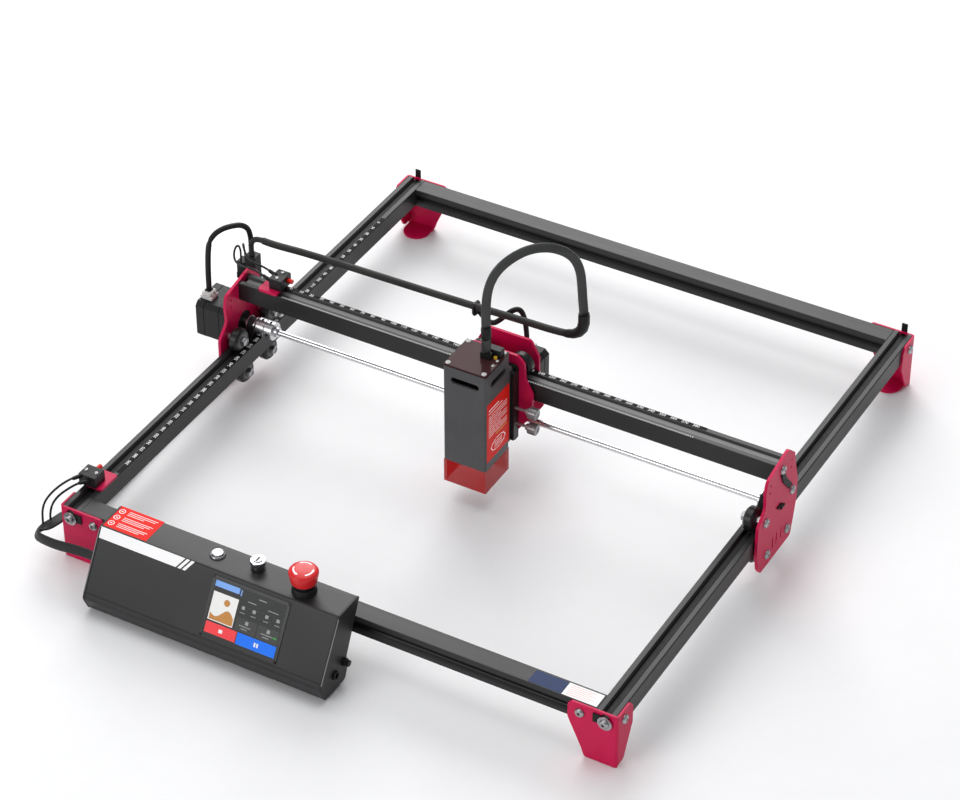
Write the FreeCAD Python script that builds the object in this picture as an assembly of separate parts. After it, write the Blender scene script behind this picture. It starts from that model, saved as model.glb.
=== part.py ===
"""Desktop laser cutter: an open aluminium frame, a belt-driven gantry, a laser module and a control box.

Millimetres. The design is laid out about the middle of the frame at floor level: +X to the right,
+Y to the back, +Z up. At the end every solid is shifted so that the origin lies under the middle
of the machine's bounding box, cables left out.
"""
import FreeCAD
import Part
import math
import os
from FreeCAD import Vector

# ---------------------------------------------------------------- driving dimensions
PROFILE = 20.0                 # square aluminium profile
HALF = PROFILE / 2
RAIL_X = 278.0                 # centre line of each side rail
RAIL_END = 313.6               # half length of a side rail
RAIL_Z = 49.0                  # centre height of the frame
SHEET = 2.0                    # corner brackets and control box
PLATE = 3.0                    # gantry and carriage plates
PLATE_X = 289.0                # inner face of each gantry plate
BEAM_Z = 110.5                 # centre height of the cross beam
BORE_R = 2.15                  # tapped core hole of the profile
THREAD_R = 2.1                 # bolt thread in a core hole or nut
BOLT_R = 2.45                  # wheel bolt shank
HOLE_R = 2.6                   # clearance hole
HEAD_R = 4.6                   # button head
HEAD_H = 2.6
WHEEL_R = 12.0
WHEEL_HALF = 5.1
GAP = 0.3                      # air between faces that move past each other
WHEELS = {
    "front_upper_wheels": (-31.0, 69.9),
    "rear_upper_wheels": (25.0, 69.9),
    "front_lower_wheels": (-24.5, 28.1),
    "rear_lower_wheels": (18.5, 28.1),
}
ROLLER_X = 21.0
ROLLERS = {
    "left_upper_roller": (-ROLLER_X, 131.4),
    "right_upper_roller": (ROLLER_X, 131.4),
    "left_lower_roller": (-ROLLER_X, 89.6),
    "right_lower_roller": (ROLLER_X, 89.6),
}
DRIVE_Y, DRIVE_Z = -3.0, 70.5  # axis of the long drive shaft
X_DRIVE_Z = 91.0               # axis of the carriage motor
MOTOR = 42.3
MOTOR_LONG = 40.0
BELT_WIDE, BELT_THICK = 6.0, 1.4
Y_BELT_Z = 53.9                # underside of the side belts
X_BELT_Z = 104.2               # underside of the beam belt
BOX_X = (-226.0, 28.0)         # control box, end to end
BOX_TOP = 79.0
FACE_TOP = (-340.5, BOX_TOP)   # upper edge of the sloping front, as (y, z)
FACE_FOOT = (-376.5, 19.0)     # lower edge of the sloping front
POWER = (-111.0, -322.0)
KEY = (-69.6, -319.5)
STOP = (-18.0, -325.0)
SCREEN_X = (-100.0, -22.0)
SCREEN_DOWN = (5.5, 60.0)      # distance down the slope
LASER_X = 22.6
LASER_Y = (-71.8, -26.8)
LASER_Z = (50.0, 160.0)
LASER_WALL = 2.5


# ---------------------------------------------------------------- basic shapes
def block(x, y, z):
    """A box between two limits on each axis."""
    shape = Part.makeBox(x[1] - x[0], y[1] - y[0], z[1] - z[0])
    shape.translate(Vector(x[0], y[0], z[0]))
    return shape


def rod(axis, centre, radius, low, high):
    """A cylinder along axis X, Y or Z from low to high; centre holds the other two places."""
    if axis == "X":
        return Part.makeCylinder(radius, high - low, Vector(low, *centre), Vector(1, 0, 0))
    if axis == "Y":
        return Part.makeCylinder(radius, high - low, Vector(centre[0], low, centre[1]), Vector(0, 1, 0))
    return Part.makeCylinder(radius, high - low, Vector(centre[0], centre[1], low), Vector(0, 0, 1))


def tube(axis, centre, outer, inner, low, high):
    """A rod with a hole along it."""
    return rod(axis, centre, outer, low, high).cut(rod(axis, centre, inner, low - 1, high + 1))


def on_plane(axis, at):
    """Turns two plane coordinates into a point on the plane where axis is at."""
    if axis == "X":
        return lambda u, v: Vector(at, u, v)
    if axis == "Y":
        return lambda u, v: Vector(u, at, v)
    return lambda u, v: Vector(u, v, at)


def outline(corners, place):
    """A closed wire through corners (u, v) or (u, v, radius), with each radius rounded off."""
    edges = []
    marks = []
    count = len(corners)
    for i in range(count):
        here = Vector(corners[i][0], corners[i][1], 0)
        before = Vector(corners[i - 1][0], corners[i - 1][1], 0)
        after = Vector(corners[(i + 1) % count][0], corners[(i + 1) % count][1], 0)
        radius = corners[i][2] if len(corners[i]) > 2 else 0
        into = (here - before).normalize()
        out = (after - here).normalize()
        turn = into.getAngle(out)
        if radius == 0 or turn < 0.01:
            marks.append((here, here, here))
            continue
        reach = radius * math.tan(turn / 2)
        inward = (out - into).normalize()
        centre = here + inward * (radius / math.cos(turn / 2))
        marks.append((here - into * reach, centre - inward * radius, here + out * reach))
    for i in range(count):
        start, middle, end = [place(p.x, p.y) for p in marks[i]]
        onward = place(marks[(i + 1) % count][0].x, marks[(i + 1) % count][0].y)
        if (end - start).Length > 1e-6:
            edges.append(Part.Arc(start, middle, end).toShape())
        if (onward - end).Length > 1e-6:
            edges.append(Part.LineSegment(end, onward).toShape())
    return Part.Wire(edges)


def plate(axis, corners, low, high):
    """A flat plate of the given outline between two planes across axis."""
    face = Part.Face(outline(corners, on_plane(axis, low)))
    along = {"X": Vector(1, 0, 0), "Y": Vector(0, 1, 0), "Z": Vector(0, 0, 1)}[axis]
    return face.extrude(along * (high - low))


def mirror_x(shape):
    return shape.mirror(Vector(0, 0, 0), Vector(1, 0, 0))


def mirror_y(shape):
    return shape.mirror(Vector(0, 0, 0), Vector(0, 1, 0))


def fused(shapes):
    """One solid made of touching or overlapping shapes."""
    return shapes[0].multiFuse(shapes[1:]).removeSplitter()


def group(shapes):
    """Separate solids that share one node."""
    return Part.makeCompound(shapes)


def both_ways(corners, axis):
    """Corners (|u|, v) or (u, |v|) of one side, with their mirror image added in reverse."""
    signs = (-1, 1) if axis == 0 else (1, -1)
    return corners + [(c[0] * signs[0], c[1] * signs[1]) + tuple(c[2:]) for c in reversed(corners)]


# ---------------------------------------------------------------- profiles
SLOT = [(4.8, HALF), (3.3, 8.2), (5.7, 8.2), (5.7, 7.0), (3.4, 4.8)]


def profile_section():
    """Corners of the square profile with a V-mouthed T-slot at the top and one at the bottom."""
    right_top = [(HALF, HALF, 1.0)] + SLOT
    left_top = [(-u, v) for u, v in reversed(SLOT)] + [(-HALF, HALF, 1.0)]
    top = right_top + left_top
    return top + [(-c[0], -c[1]) + tuple(c[2:]) for c in top]


def profile_y(x, z, low, high):
    """A profile along Y with its slots above and below."""
    corners = [(c[0] + x, c[1] + z) + tuple(c[2:]) for c in profile_section()]
    return plate("Y", corners, low, high).cut(rod("Y", (x, z), BORE_R, low - 1, high + 1))


def profile_x(y, z, low, high, slots):
    """A profile along X; slots is 'Z' for slots above and below, 'Y' for front and rear."""
    if slots == "Z":
        corners = [(c[0] + y, c[1] + z) + tuple(c[2:]) for c in profile_section()]
    else:
        corners = [(c[1] + y, c[0] + z) + tuple(c[2:]) for c in profile_section()]
    return plate("X", corners, low, high).cut(rod("X", (y, z), BORE_R, low - 1, high + 1))


CROSS_Y = RAIL_END - HALF      # centre line of the front and rear profiles
RAIL_IN = RAIL_X - HALF
RAIL_OUT = RAIL_X + HALF


def side_rail():
    """The right-hand rail, drilled across for the bolts into the front and rear profiles."""
    rail = profile_y(RAIL_X, RAIL_Z, -RAIL_END, RAIL_END)
    for y in (-CROSS_Y, CROSS_Y):
        rail = rail.cut(rod("X", (y, RAIL_Z), HOLE_R, RAIL_IN - 1, RAIL_OUT + 1))
    return rail


def cross_profiles():
    """Front and rear frame profiles between the rails."""
    return group([profile_x(y, RAIL_Z, -RAIL_IN, RAIL_IN, "Y") for y in (-CROSS_Y, CROSS_Y)])


# ---------------------------------------------------------------- corner brackets and their bolts
BRACKET_FACE = RAIL_END + SHEET
BRACKET_SIDE = RAIL_OUT + SHEET
FACE_BOLT_X = 253.0
BELT_HOLE = (53.0, 57.5)


def corner_bracket():
    """The rear right bracket: face plate, side flange and a round foot tab, bent from one sheet."""
    bend = [(240, RAIL_END), (RAIL_OUT, RAIL_END, 1.0), (RAIL_OUT, 280), (BRACKET_SIDE, 280),
            (BRACKET_SIDE, BRACKET_FACE, 3.0), (240, BRACKET_FACE)]
    sheet = plate("Z", bend, 0, 59)
    face = [(BRACKET_SIDE, 0), (258, 0, 3), (255, 9, 6), (241, 40, 8), (241, 55, 4), (245, 59, 4), (BRACKET_SIDE, 59)]
    flange = [(BRACKET_FACE, 2), (303, 2, 5), (287.3, 33, 8), (287.3, 52, 5), (292.5, 59, 5), (BRACKET_FACE, 59)]
    kept = plate("Y", face, RAIL_END, BRACKET_FACE + 1).fuse(plate("X", flange, RAIL_OUT, BRACKET_SIDE + 1))
    body = sheet.common(kept)
    tab = plate("Z", [(258, RAIL_END + 1), (258, 287.6, 13.9), (286, 287.6, 13.9), (286, RAIL_END + 1)], 0, SHEET)
    body = fused([body, tab])
    holes = [
        rod("Y", (FACE_BOLT_X, RAIL_Z), HOLE_R, RAIL_END - 1, BRACKET_FACE + 1),
        rod("Y", (RAIL_X, RAIL_Z), HOLE_R, RAIL_END - 1, BRACKET_FACE + 1),
        rod("X", (CROSS_Y, RAIL_Z), HOLE_R, RAIL_OUT - 1, BRACKET_SIDE + 1),
        plate("Y", [(273.6, 53), (282.4, 53), (282.4, 57.6, 4), (273.6, 57.6, 4)], RAIL_END - 1, BRACKET_FACE + 1),
    ]
    for hole in holes:
        body = body.cut(hole)
    return body


def corner_bolts():
    """Bolts of the rear right corner: one in a T-nut, one in the rail's end, one through the rail."""
    nut = block((FACE_BOLT_X - 5, FACE_BOLT_X + 5), (RAIL_END - 2.9, RAIL_END - 1.9), (RAIL_Z - 5.2, RAIL_Z + 5.2))
    face = fused([
        rod("Y", (FACE_BOLT_X, RAIL_Z), HEAD_R, BRACKET_FACE, BRACKET_FACE + HEAD_H),
        rod("Y", (FACE_BOLT_X, RAIL_Z), THREAD_R, RAIL_END - 4.6, BRACKET_FACE),
        nut,
    ])
    clamp = BRACKET_FACE + BELT_THICK + 0.1
    end = fused([
        rod("Y", (RAIL_X, RAIL_Z), THREAD_R, CROSS_Y + 4, clamp),
        rod("Y", (RAIL_X, RAIL_Z), 7.0, clamp, clamp + 1.2),
        rod("Y", (RAIL_X, RAIL_Z), HEAD_R, clamp + 1.2, clamp + 1.2 + HEAD_H),
    ])
    side = fused([
        rod("X", (CROSS_Y, RAIL_Z), THREAD_R, RAIL_IN - 15, BRACKET_SIDE),
        rod("X", (CROSS_Y, RAIL_Z), HEAD_R, BRACKET_SIDE, BRACKET_SIDE + HEAD_H),
    ])
    return [face, end, side]


def four_corners(shapes):
    """The same solids at all four corners."""
    right = shapes + [mirror_y(s) for s in shapes]
    return group(right + [mirror_x(s) for s in right])


def side_belt():
    """One side belt in its rail slot, its ends folded under the washers outside the brackets."""
    wide = (RAIL_X - BELT_WIDE / 2, RAIL_X + BELT_WIDE / 2)
    run = block(wide, (-BRACKET_FACE - BELT_THICK, BRACKET_FACE + BELT_THICK), (Y_BELT_Z, Y_BELT_Z + BELT_THICK))
    front = block((RAIL_X - 12, wide[1]), (-BRACKET_FACE - BELT_THICK, -BRACKET_FACE - 0.01), (46, Y_BELT_Z + BELT_THICK))
    rear = block(wide, (BRACKET_FACE + 0.01, BRACKET_FACE + BELT_THICK), (44, 68))
    belt = fused([run, front, rear])
    return belt.cut(rod("Y", (RAIL_X, RAIL_Z), HOLE_R, -330, 330))


# ---------------------------------------------------------------- control box
SLOPE = math.degrees(math.atan2(FACE_TOP[1] - FACE_FOOT[1], FACE_TOP[0] - FACE_FOOT[0]))


def on_slope(shape):
    """Moves a shape drawn as (x, up the slope, outwards) from the slope's upper edge into place."""
    placed = shape.copy()
    placed.rotate(Vector(0, 0, 0), Vector(1, 0, 0), SLOPE)
    placed.translate(Vector(0, FACE_TOP[0], FACE_TOP[1]))
    return placed


BOX_SECTION = [(-306, BOX_TOP, 2), FACE_TOP + (3,), FACE_FOOT + (6,), (-369, 2, 5), (-335, 2, 4), (-330.5, 12, 3), (-331, 26.5, 6)]


def section_inset(depth):
    """The box section made smaller by depth all round."""
    wire = outline(BOX_SECTION, on_plane("X", 0))
    return wire if depth == 0 else wire.makeOffset2D(-depth)


def box_part(depth, low, high):
    """A solid of the box section, inset by depth, between two places along X."""
    face = Part.Face(section_inset(depth))
    solid = face.extrude(Vector(high - low, 0, 0))
    solid.translate(Vector(low, 0, 0))
    return solid


def box_shell():
    """The folded sheet that makes the top, front, bottom and back of the control box."""
    low, high = BOX_X[0] + SHEET, BOX_X[1] - SHEET
    shell = box_part(0.4, low, high).cut(box_part(0.4 + SHEET, low - 1, high + 1))
    window = block(SCREEN_X, (-SCREEN_DOWN[1], -SCREEN_DOWN[0]), (-5, 3))
    shell = shell.cut(on_slope(window))
    for (x, y), radius in ((POWER, 6.4), (KEY, 5.8), (STOP, 8.3)):
        shell = shell.cut(rod("Z", (x, y), radius, BOX_TOP - 6, BOX_TOP + 1))
    return shell


def box_end_caps():
    return group([box_part(0, BOX_X[0], BOX_X[0] + SHEET), box_part(0, BOX_X[1] - SHEET, BOX_X[1])])


def box_brackets():
    """Wedges that fasten the leaning back of the box to the front profile."""
    def back_at(z):
        lean = 25 / 52.5
        return -306 - lean * (BOX_TOP - z) - 0.4 * math.hypot(1, lean) + 0.02
    corners = [(-RAIL_END, 41), (-RAIL_END, 57), (back_at(57), 57), (back_at(41), 41)]
    return group([plate("X", corners, x - 9, x + 9) for x in (-185, -15)])


def touch_screen():
    """Display module set flush into the slope, with its circuit board behind."""
    glass = block((SCREEN_X[0] + 0.2, SCREEN_X[1] - 0.2), (-SCREEN_DOWN[1] + 0.2, -SCREEN_DOWN[0] - 0.2), (-4.5, 0.2))
    board = block((SCREEN_X[0] + 4, SCREEN_X[1] - 4), (-SCREEN_DOWN[1] + 3, -SCREEN_DOWN[0] - 3), (-6.1, -4.5))
    return on_slope(fused([glass, board]))


def control_board():
    """Motion controller on four standoffs in the bottom of the box."""
    board = block((-205, -115), (-366, -340), (12, 13.6))
    feet = [rod("Z", (x, y), 2.5, 4.4, 12) for x in (-200, -120) for y in (-362, -344)]
    chips = [block((x, x + 12), (-360, -348), (13.6, 17)) for x in (-196, -176, -156)]
    sockets = [block((x, x + 9), (-347, -341), (13.6, 20)) for x in (-190, -170, -150, -133)]
    return fused([board] + feet + chips + sockets)


def switch_bezels():
    """Fixed parts of the three controls on top: button ring, key barrel, stop collar and its contact block."""
    ring = fused([tube("Z", POWER, 7.4, 5.6, BOX_TOP, 80.8), tube("Z", POWER, 6.0, 5.6, 68, BOX_TOP)])
    barrel = fused([tube("Z", KEY, 7.3, 4.4, 84.2, 88.6), tube("Z", KEY, 5.4, 4.4, 69, 84.2)])
    collar = fused([tube("Z", STOP, 11.0, 9.5, BOX_TOP, 85), tube("Z", STOP, 7.9, 6.3, 70, BOX_TOP)])
    contacts = block((STOP[0] - 12, STOP[0] + 12), (-338, -323), (50, 65))
    return group([ring, barrel, collar, contacts])


def side_sockets():
    """Wireless aerial stub and power inlet on the right end, cable gland on the left end."""
    stub = fused([rod("X", (-337, 24.4), 4, BOX_X[1], 31.5), rod("X", (-337, 24.4), 3.2, 31.5, 34.5)])
    inlet = tube("X", (-352, 20), 4.5, 3.0, BOX_X[1], 30.5)
    gland = block((-230, BOX_X[0]), (-350, -336), (36, 44))
    return group([stub, inlet, gland])


def power_button():
    return rod("Z", POWER, 5.3, 69, 82)


def key_cylinder():
    """Turning core of the key switch, with its slot."""
    core = rod("Z", KEY, 4.1, 68, 89.2)
    return core.cut(block((KEY[0] - 0.7, KEY[0] + 0.7), (KEY[1] - 3, KEY[1] + 3), (84, 90)))


def estop_stem():
    return fused([rod("Z", STOP, 6.0, 70, 84), rod("Z", STOP, 9.2, 83.3, 89)])


def estop_head():
    """Mushroom head of the emergency stop, turned to release."""
    profile = [(0, 89.2), (10.6, 89.2), (12, 90.2), (13.7, 99), (13.4, 101), (11.8, 102.8), (6, 104), (0, 104)]
    wire = Part.makePolygon([Vector(r, 0, z) for r, z in profile + profile[:1]])
    head = Part.Face(wire).revolve(Vector(0, 0, 0), Vector(0, 0, 1), 360)
    head.translate(Vector(STOP[0], STOP[1], 0))
    return head


# ---------------------------------------------------------------- limit switches
Y_SWITCH_BUTTON = (-282.0, 69.5)
X_SWITCH_BUTTON = (6.5, 130.0)


def y_switch_plate():
    return plate("Z", [(-285.5, -281, 2), (-267, -281, 2), (-267, -255, 2), (-285.5, -255, 2)], 59, 61.5)


def y_switch_body():
    body = block((-291, -272.5), (-283, -267), (61.5, 73.5))
    return body.cut(rod("Y", Y_SWITCH_BUTTON, 2.6, -273, -266))


def y_switch_button():
    return rod("Y", Y_SWITCH_BUTTON, 2.3, -270, -260)


def x_switch_plate():
    return plate("Z", [(-265, -12, 2), (-244, -12, 2), (-244, 13, 2), (-265, 13, 2)], 121, 124)


def x_switch_body():
    humps = [block((-255.4, -251), (y, y + 8), (126, 136)) for y in (-6.6, 3.7)]
    base = fused([block((-255.4, -241.5), (-6.6, 11.7), (124, 133.5)), block((-251, -241.5), (-6.6, 11.7), (133, 136))])
    feet = [block((-260, -249), (y, y + 5), (120.5, 121)) for y in (-6, 3)]
    body = fused([base] + humps)
    return group([body.cut(rod("X", X_SWITCH_BUTTON, 2.6, -248, -241))] + feet)


def x_switch_button():
    return rod("X", X_SWITCH_BUTTON, 2.3, -245, -236.5)


# ---------------------------------------------------------------- gantry
PLATE_OUTLINE = [
    (12, 126, 6), (26, 113.5, 7), (29.5, 99, 10), (37, 74, 9), (37, 50.5, 12), (32.5, 31, 8), (28, 13.5, 5),
    (-36, 13.5, 5), (-42, 22, 8), (-46, 40, 10), (-46, 73, 8), (-32, 86, 10), (-34, 105, 10), (-31, 117, 6),
]
PLATE_OUT = PLATE_X + PLATE


def gantry_plate(side):
    """Side plate with holes for the wheel bolts, beam bolt, belt and, on the left, the motor."""
    body = plate("X", PLATE_OUTLINE, PLATE_X, PLATE_OUT)
    low, high = PLATE_X - 1, PLATE_OUT + 1
    for y, z in list(WHEELS.values()) + [(0, BEAM_Z)]:
        body = body.cut(rod("X", (y, z), HOLE_R, low, high))
    for y, z in ((20, 108), (19, 100.5), (-24, 108), (-25, 100.6)):
        body = body.cut(rod("X", (y, z), 1.2, low, high))
    for y in (-12, -4, 6):
        body = body.cut(plate("X", [(y - 1, 26, 0.9), (y + 1, 26, 0.9), (y + 1, 39, 0.9), (y - 1, 39, 0.9)], low, high))
    body = body.cut(block((low, high), (-4, 4), (X_BELT_Z - 1.2, X_BELT_Z + BELT_THICK + 1.2)))
    if side == "right":
        upper = plate("X", [(-8, 69.5, 0.9), (1, 69.5, 0.9), (1, 71.5, 0.9), (-8, 71.5, 0.9)], low, high)
        lower = plate("X", [(-1, 64.5, 0.9), (8, 64.5, 0.9), (8, 66.5, 0.9), (-1, 66.5, 0.9)], low, high)
        link = plate("X", [(-1, 65.5), (1, 65.5), (1, 70.5), (-1, 70.5)], low, high)
        return body.cut(fused([upper, link, lower]))
    body = body.cut(rod("X", (DRIVE_Y, DRIVE_Z), 11.3, low, high))
    return mirror_x(body)


def wheel_pair(y, z):
    """Left and right wheels that share one axis."""
    section = [(-WHEEL_HALF, 2.5), (-WHEEL_HALF, 9.8), (-2.9, WHEEL_R), (2.9, WHEEL_R), (WHEEL_HALF, 9.8), (WHEEL_HALF, 2.5)]
    wire = Part.makePolygon([Vector(x, 0, r) for x, r in section + section[:1]])
    wheel = Part.Face(wire).revolve(Vector(0, 0, 0), Vector(1, 0, 0), 360)
    wheel.translate(Vector(RAIL_X, y, z))
    return group([wheel, mirror_x(wheel)])


def hexagon(axis, centre, across, low, high):
    """A hexagonal nut, across its flats."""
    corner = across / 2 / math.cos(math.radians(30))
    points = []
    for step in range(6):
        angle = math.radians(60 * step + 30)
        points.append((centre[0] + corner * math.cos(angle), centre[1] + corner * math.sin(angle)))
    return plate(axis, points, low, high)


def gantry_bolts():
    """Wheel bolts with spacers and nuts, and the beam's end bolts."""
    solids = []
    inner = RAIL_X + WHEEL_HALF + 0.2
    nut = RAIL_X - WHEEL_HALF - 0.2
    for y, z in WHEELS.values():
        bolt = fused([
            rod("X", (y, z), HEAD_R, PLATE_OUT, PLATE_OUT + HEAD_H),
            rod("X", (y, z), BOLT_R, nut - 6, PLATE_OUT),
            rod("X", (y, z), 4.0, inner, PLATE_X),
            hexagon("X", (y, z), 8, nut - 4.5, nut),
        ])
        solids += [bolt, mirror_x(bolt)]
    end = fused([
        rod("X", (0, BEAM_Z), HEAD_R, PLATE_OUT, PLATE_OUT + HEAD_H),
        rod("X", (0, BEAM_Z), THREAD_R, PLATE_X - 14, PLATE_OUT),
    ])
    return group(solids + [end, mirror_x(end)])


def x_beam():
    return profile_x(0, BEAM_Z, -PLATE_X, PLATE_X, "Z")


def x_belt():
    """Beam belt in the bottom slot; on the right it comes out through the plate and turns down outside."""
    wide = (-BELT_WIDE / 2, BELT_WIDE / 2)
    run = block((-PLATE_OUT, PLATE_OUT + BELT_THICK), wide, (X_BELT_Z, X_BELT_Z + BELT_THICK))
    strap = plate("X", [(-3, 105.6), (3, 105.6), (8, 96, 14), (22, 80), (17, 76.5), (1, 95, 16)], PLATE_OUT + 0.01, PLATE_OUT + BELT_THICK)
    return fused([run, strap])


def motor_body(length):
    """Square stepper motor along +Z from its mounting face at 0, with chamfered corners and a pilot boss."""
    half = MOTOR / 2
    cut = 4.5
    corners = []
    for su, sv in ((1, 1), (-1, 1), (-1, -1), (1, -1)):
        pair = [(su * half, sv * (half - cut)), (su * (half - cut), sv * half)]
        corners += pair if su * sv > 0 else pair[::-1]
    body = plate("Z", corners, 0, length)
    return body.fuse(rod("Z", (0, 0), 11.0, -2, 0)).cut(rod("Z", (0, 0), 2.9, -3, 3))


def y_motor():
    """Gantry motor outside the left plate, with its connector on top."""
    body = motor_body(MOTOR_LONG)
    body.rotate(Vector(0, 0, 0), Vector(0, 1, 0), -90)
    body.translate(Vector(-PLATE_OUT, DRIVE_Y, DRIVE_Z))
    top = DRIVE_Z + MOTOR / 2
    plug = block((-331.5, -317), (-16.5, -3), (top, top + 9))
    return fused([body, plug])


def drive_shaft():
    """Motor shaft stub and the long shaft that carries the drive to the right-hand belt."""
    stub = rod("X", (DRIVE_Y, DRIVE_Z), 2.5, -PLATE_OUT - 2.5, -259)
    shaft = rod("X", (DRIVE_Y, DRIVE_Z), 3.0, -258, PLATE_X - 0.4)
    return group([stub, shaft])


def shaft_coupling():
    """Clamping coupling with a groove round its middle, joining the motor stub to the long shaft."""
    body = fused([
        rod("X", (DRIVE_Y, DRIVE_Z), 9.3, -271, -262.4),
        rod("X", (DRIVE_Y, DRIVE_Z), 8.3, -262.4, -261.6),
        rod("X", (DRIVE_Y, DRIVE_Z), 9.3, -261.6, -253),
        rod("X", (DRIVE_Y, DRIVE_Z), 5.2, -253, -249),
    ])
    body = body.cut(rod("X", (DRIVE_Y, DRIVE_Z), 2.5, -272, -258.5))
    return body.cut(rod("X", (DRIVE_Y, DRIVE_Z), 3.0, -258.5, -239))


def pulley(bore):
    """Toothed pulley with two flanges, along +Z, centred on 0."""
    body = fused([
        rod("Z", (0, 0), 8.0, -4.5, -3.5),
        rod("Z", (0, 0), 6.1, -3.5, 3.5),
        rod("Z", (0, 0), 8.0, 3.5, 4.5),
    ])
    return body.cut(rod("Z", (0, 0), bore, -6, 6))


def y_pulleys():
    solids = []
    for x, bore in ((-RAIL_X, 2.5), (RAIL_X, 3.0)):
        body = pulley(bore)
        body.rotate(Vector(0, 0, 0), Vector(0, 1, 0), 90)
        body.translate(Vector(x, DRIVE_Y, DRIVE_Z))
        solids.append(body)
    return group(solids)


STAND_Y = (25.0, 36.0)


def cable_stand():
    """Two-pronged guide behind the left plate that gathers the cables."""
    foot = block((-314, -PLATE_OUT), (24, STAND_Y[1]), (97, 104))
    left = block((-314, -305), STAND_Y, (104, 117))
    right = block((-304, -PLATE_OUT), STAND_Y, (104, 127))
    return fused([foot, left, right])


# ---------------------------------------------------------------- carriage
FRONT_PLATE = [(24, 150, 4), (31.5, 143, 5), (33, 124.5, 8), (41, 110, 8), (40.5, 100, 6), (38, 81.5, 8), (25, 63, 5)]
REAR_PLATE = [(24, 151, 5), (33, 134, 8), (33, 119, 6), (38, 99, 6), (38, 79, 4), (33, 71, 5)]
PLATE_Y = (11.5, 14.5)


def carriage_plate(half_outline, low, high):
    """A plate across Y with the four roller bolt holes."""
    corners = [(-c[0],) + tuple(c[1:]) for c in half_outline]
    body = plate("Y", half_outline + corners[::-1], low, high)
    for x, z in ROLLERS.values():
        body = body.cut(rod("Y", (x, z), HOLE_R, low - 1, high + 1))
    return body


def carriage_front_plate():
    return carriage_plate(FRONT_PLATE, -PLATE_Y[1], -PLATE_Y[0])


def carriage_rear_plate():
    body = carriage_plate(REAR_PLATE, PLATE_Y[0], PLATE_Y[1])
    return body.cut(rod("Y", (0, X_DRIVE_Z), 11.3, PLATE_Y[0] - 1, PLATE_Y[1] + 1))


def roller(x, z):
    """A grooved-rail roller that turns about Y."""
    section = [(-WHEEL_HALF, 2.5), (-WHEEL_HALF, 9.8), (-2.9, WHEEL_R), (2.9, WHEEL_R), (WHEEL_HALF, 9.8), (WHEEL_HALF, 2.5)]
    wire = Part.makePolygon([Vector(0, y, r) for y, r in section + section[:1]])
    body = Part.Face(wire).revolve(Vector(0, 0, 0), Vector(0, 1, 0), 360)
    body.translate(Vector(x, 0, z))
    return body


def carriage_bolts():
    """Roller bolts, flush in front, with spacers; the upper pair end in nuts behind."""
    solids = []
    near = WHEEL_HALF + 0.2
    for x, z in ROLLERS.values():
        parts = [
            rod("Y", (x, z), BOLT_R, -PLATE_Y[1], PLATE_Y[1]),
            rod("Y", (x, z), 4.0, -PLATE_Y[0], -near),
            rod("Y", (x, z), 4.0, near, PLATE_Y[0]),
        ]
        if z > BEAM_Z:
            parts.append(hexagon("Y", (x, z), 8, PLATE_Y[1], PLATE_Y[1] + 4.5))
        solids.append(fused(parts))
    return group(solids)


def x_motor():
    """Carriage motor behind the rear plate, with its connector on top."""
    body = motor_body(MOTOR_LONG)
    body.rotate(Vector(0, 0, 0), Vector(1, 0, 0), -90)
    body.translate(Vector(0, PLATE_Y[1], X_DRIVE_Z))
    top = X_DRIVE_Z + MOTOR / 2
    plug = block((-5.5, 9), (39, 51), (top, top + 5))
    return fused([body, plug])


def x_pulley():
    """Pulley and motor shaft under the beam's lower slot."""
    body = pulley(2.5)
    body.rotate(Vector(0, 0, 0), Vector(1, 0, 0), 90)
    shaft = rod("Z", (0, 0), 2.5, -PLATE_Y[1] - 2.5, 6)
    shaft.rotate(Vector(0, 0, 0), Vector(1, 0, 0), 90)
    both = [body, shaft]
    for solid in both:
        solid.translate(Vector(0, 0, X_DRIVE_Z))
    return group(both)


THUMB_Y = -21.2
THUMB_Z = {"thumbscrew_upper": 95.0, "thumbscrew_lower": 77.0}
BAR_X = 21.7
BAR_Y = (-26.8, -18.8)


def height_slide():
    """Channel that holds the laser's sliding bar; two thumbscrews press through its right lip."""
    base = plate("Y", [(26, 140, 4), (-26, 140, 4), (-26, 53, 4), (26, 53, 4)], -18.5, -14.5)
    lips = [block(x, (-24, -18.5), (57, 136)) for x in ((22, 26), (-26, -22))]
    body = fused([base] + lips)
    for z in THUMB_Z.values():
        body = body.cut(rod("X", (THUMB_Y, z), 1.56, 20, 30))
    return body


def thumbscrew(z):
    """Knurled head on a thin stem."""
    return fused([
        rod("X", (THUMB_Y, z), 1.5, 22.05, 41),
        rod("X", (THUMB_Y, z), 3.2, 38, 41),
        rod("X", (THUMB_Y, z), 6.0, 41, 50),
    ])


# ---------------------------------------------------------------- laser module
VENT_Z = (142.8, 149.4)


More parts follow.
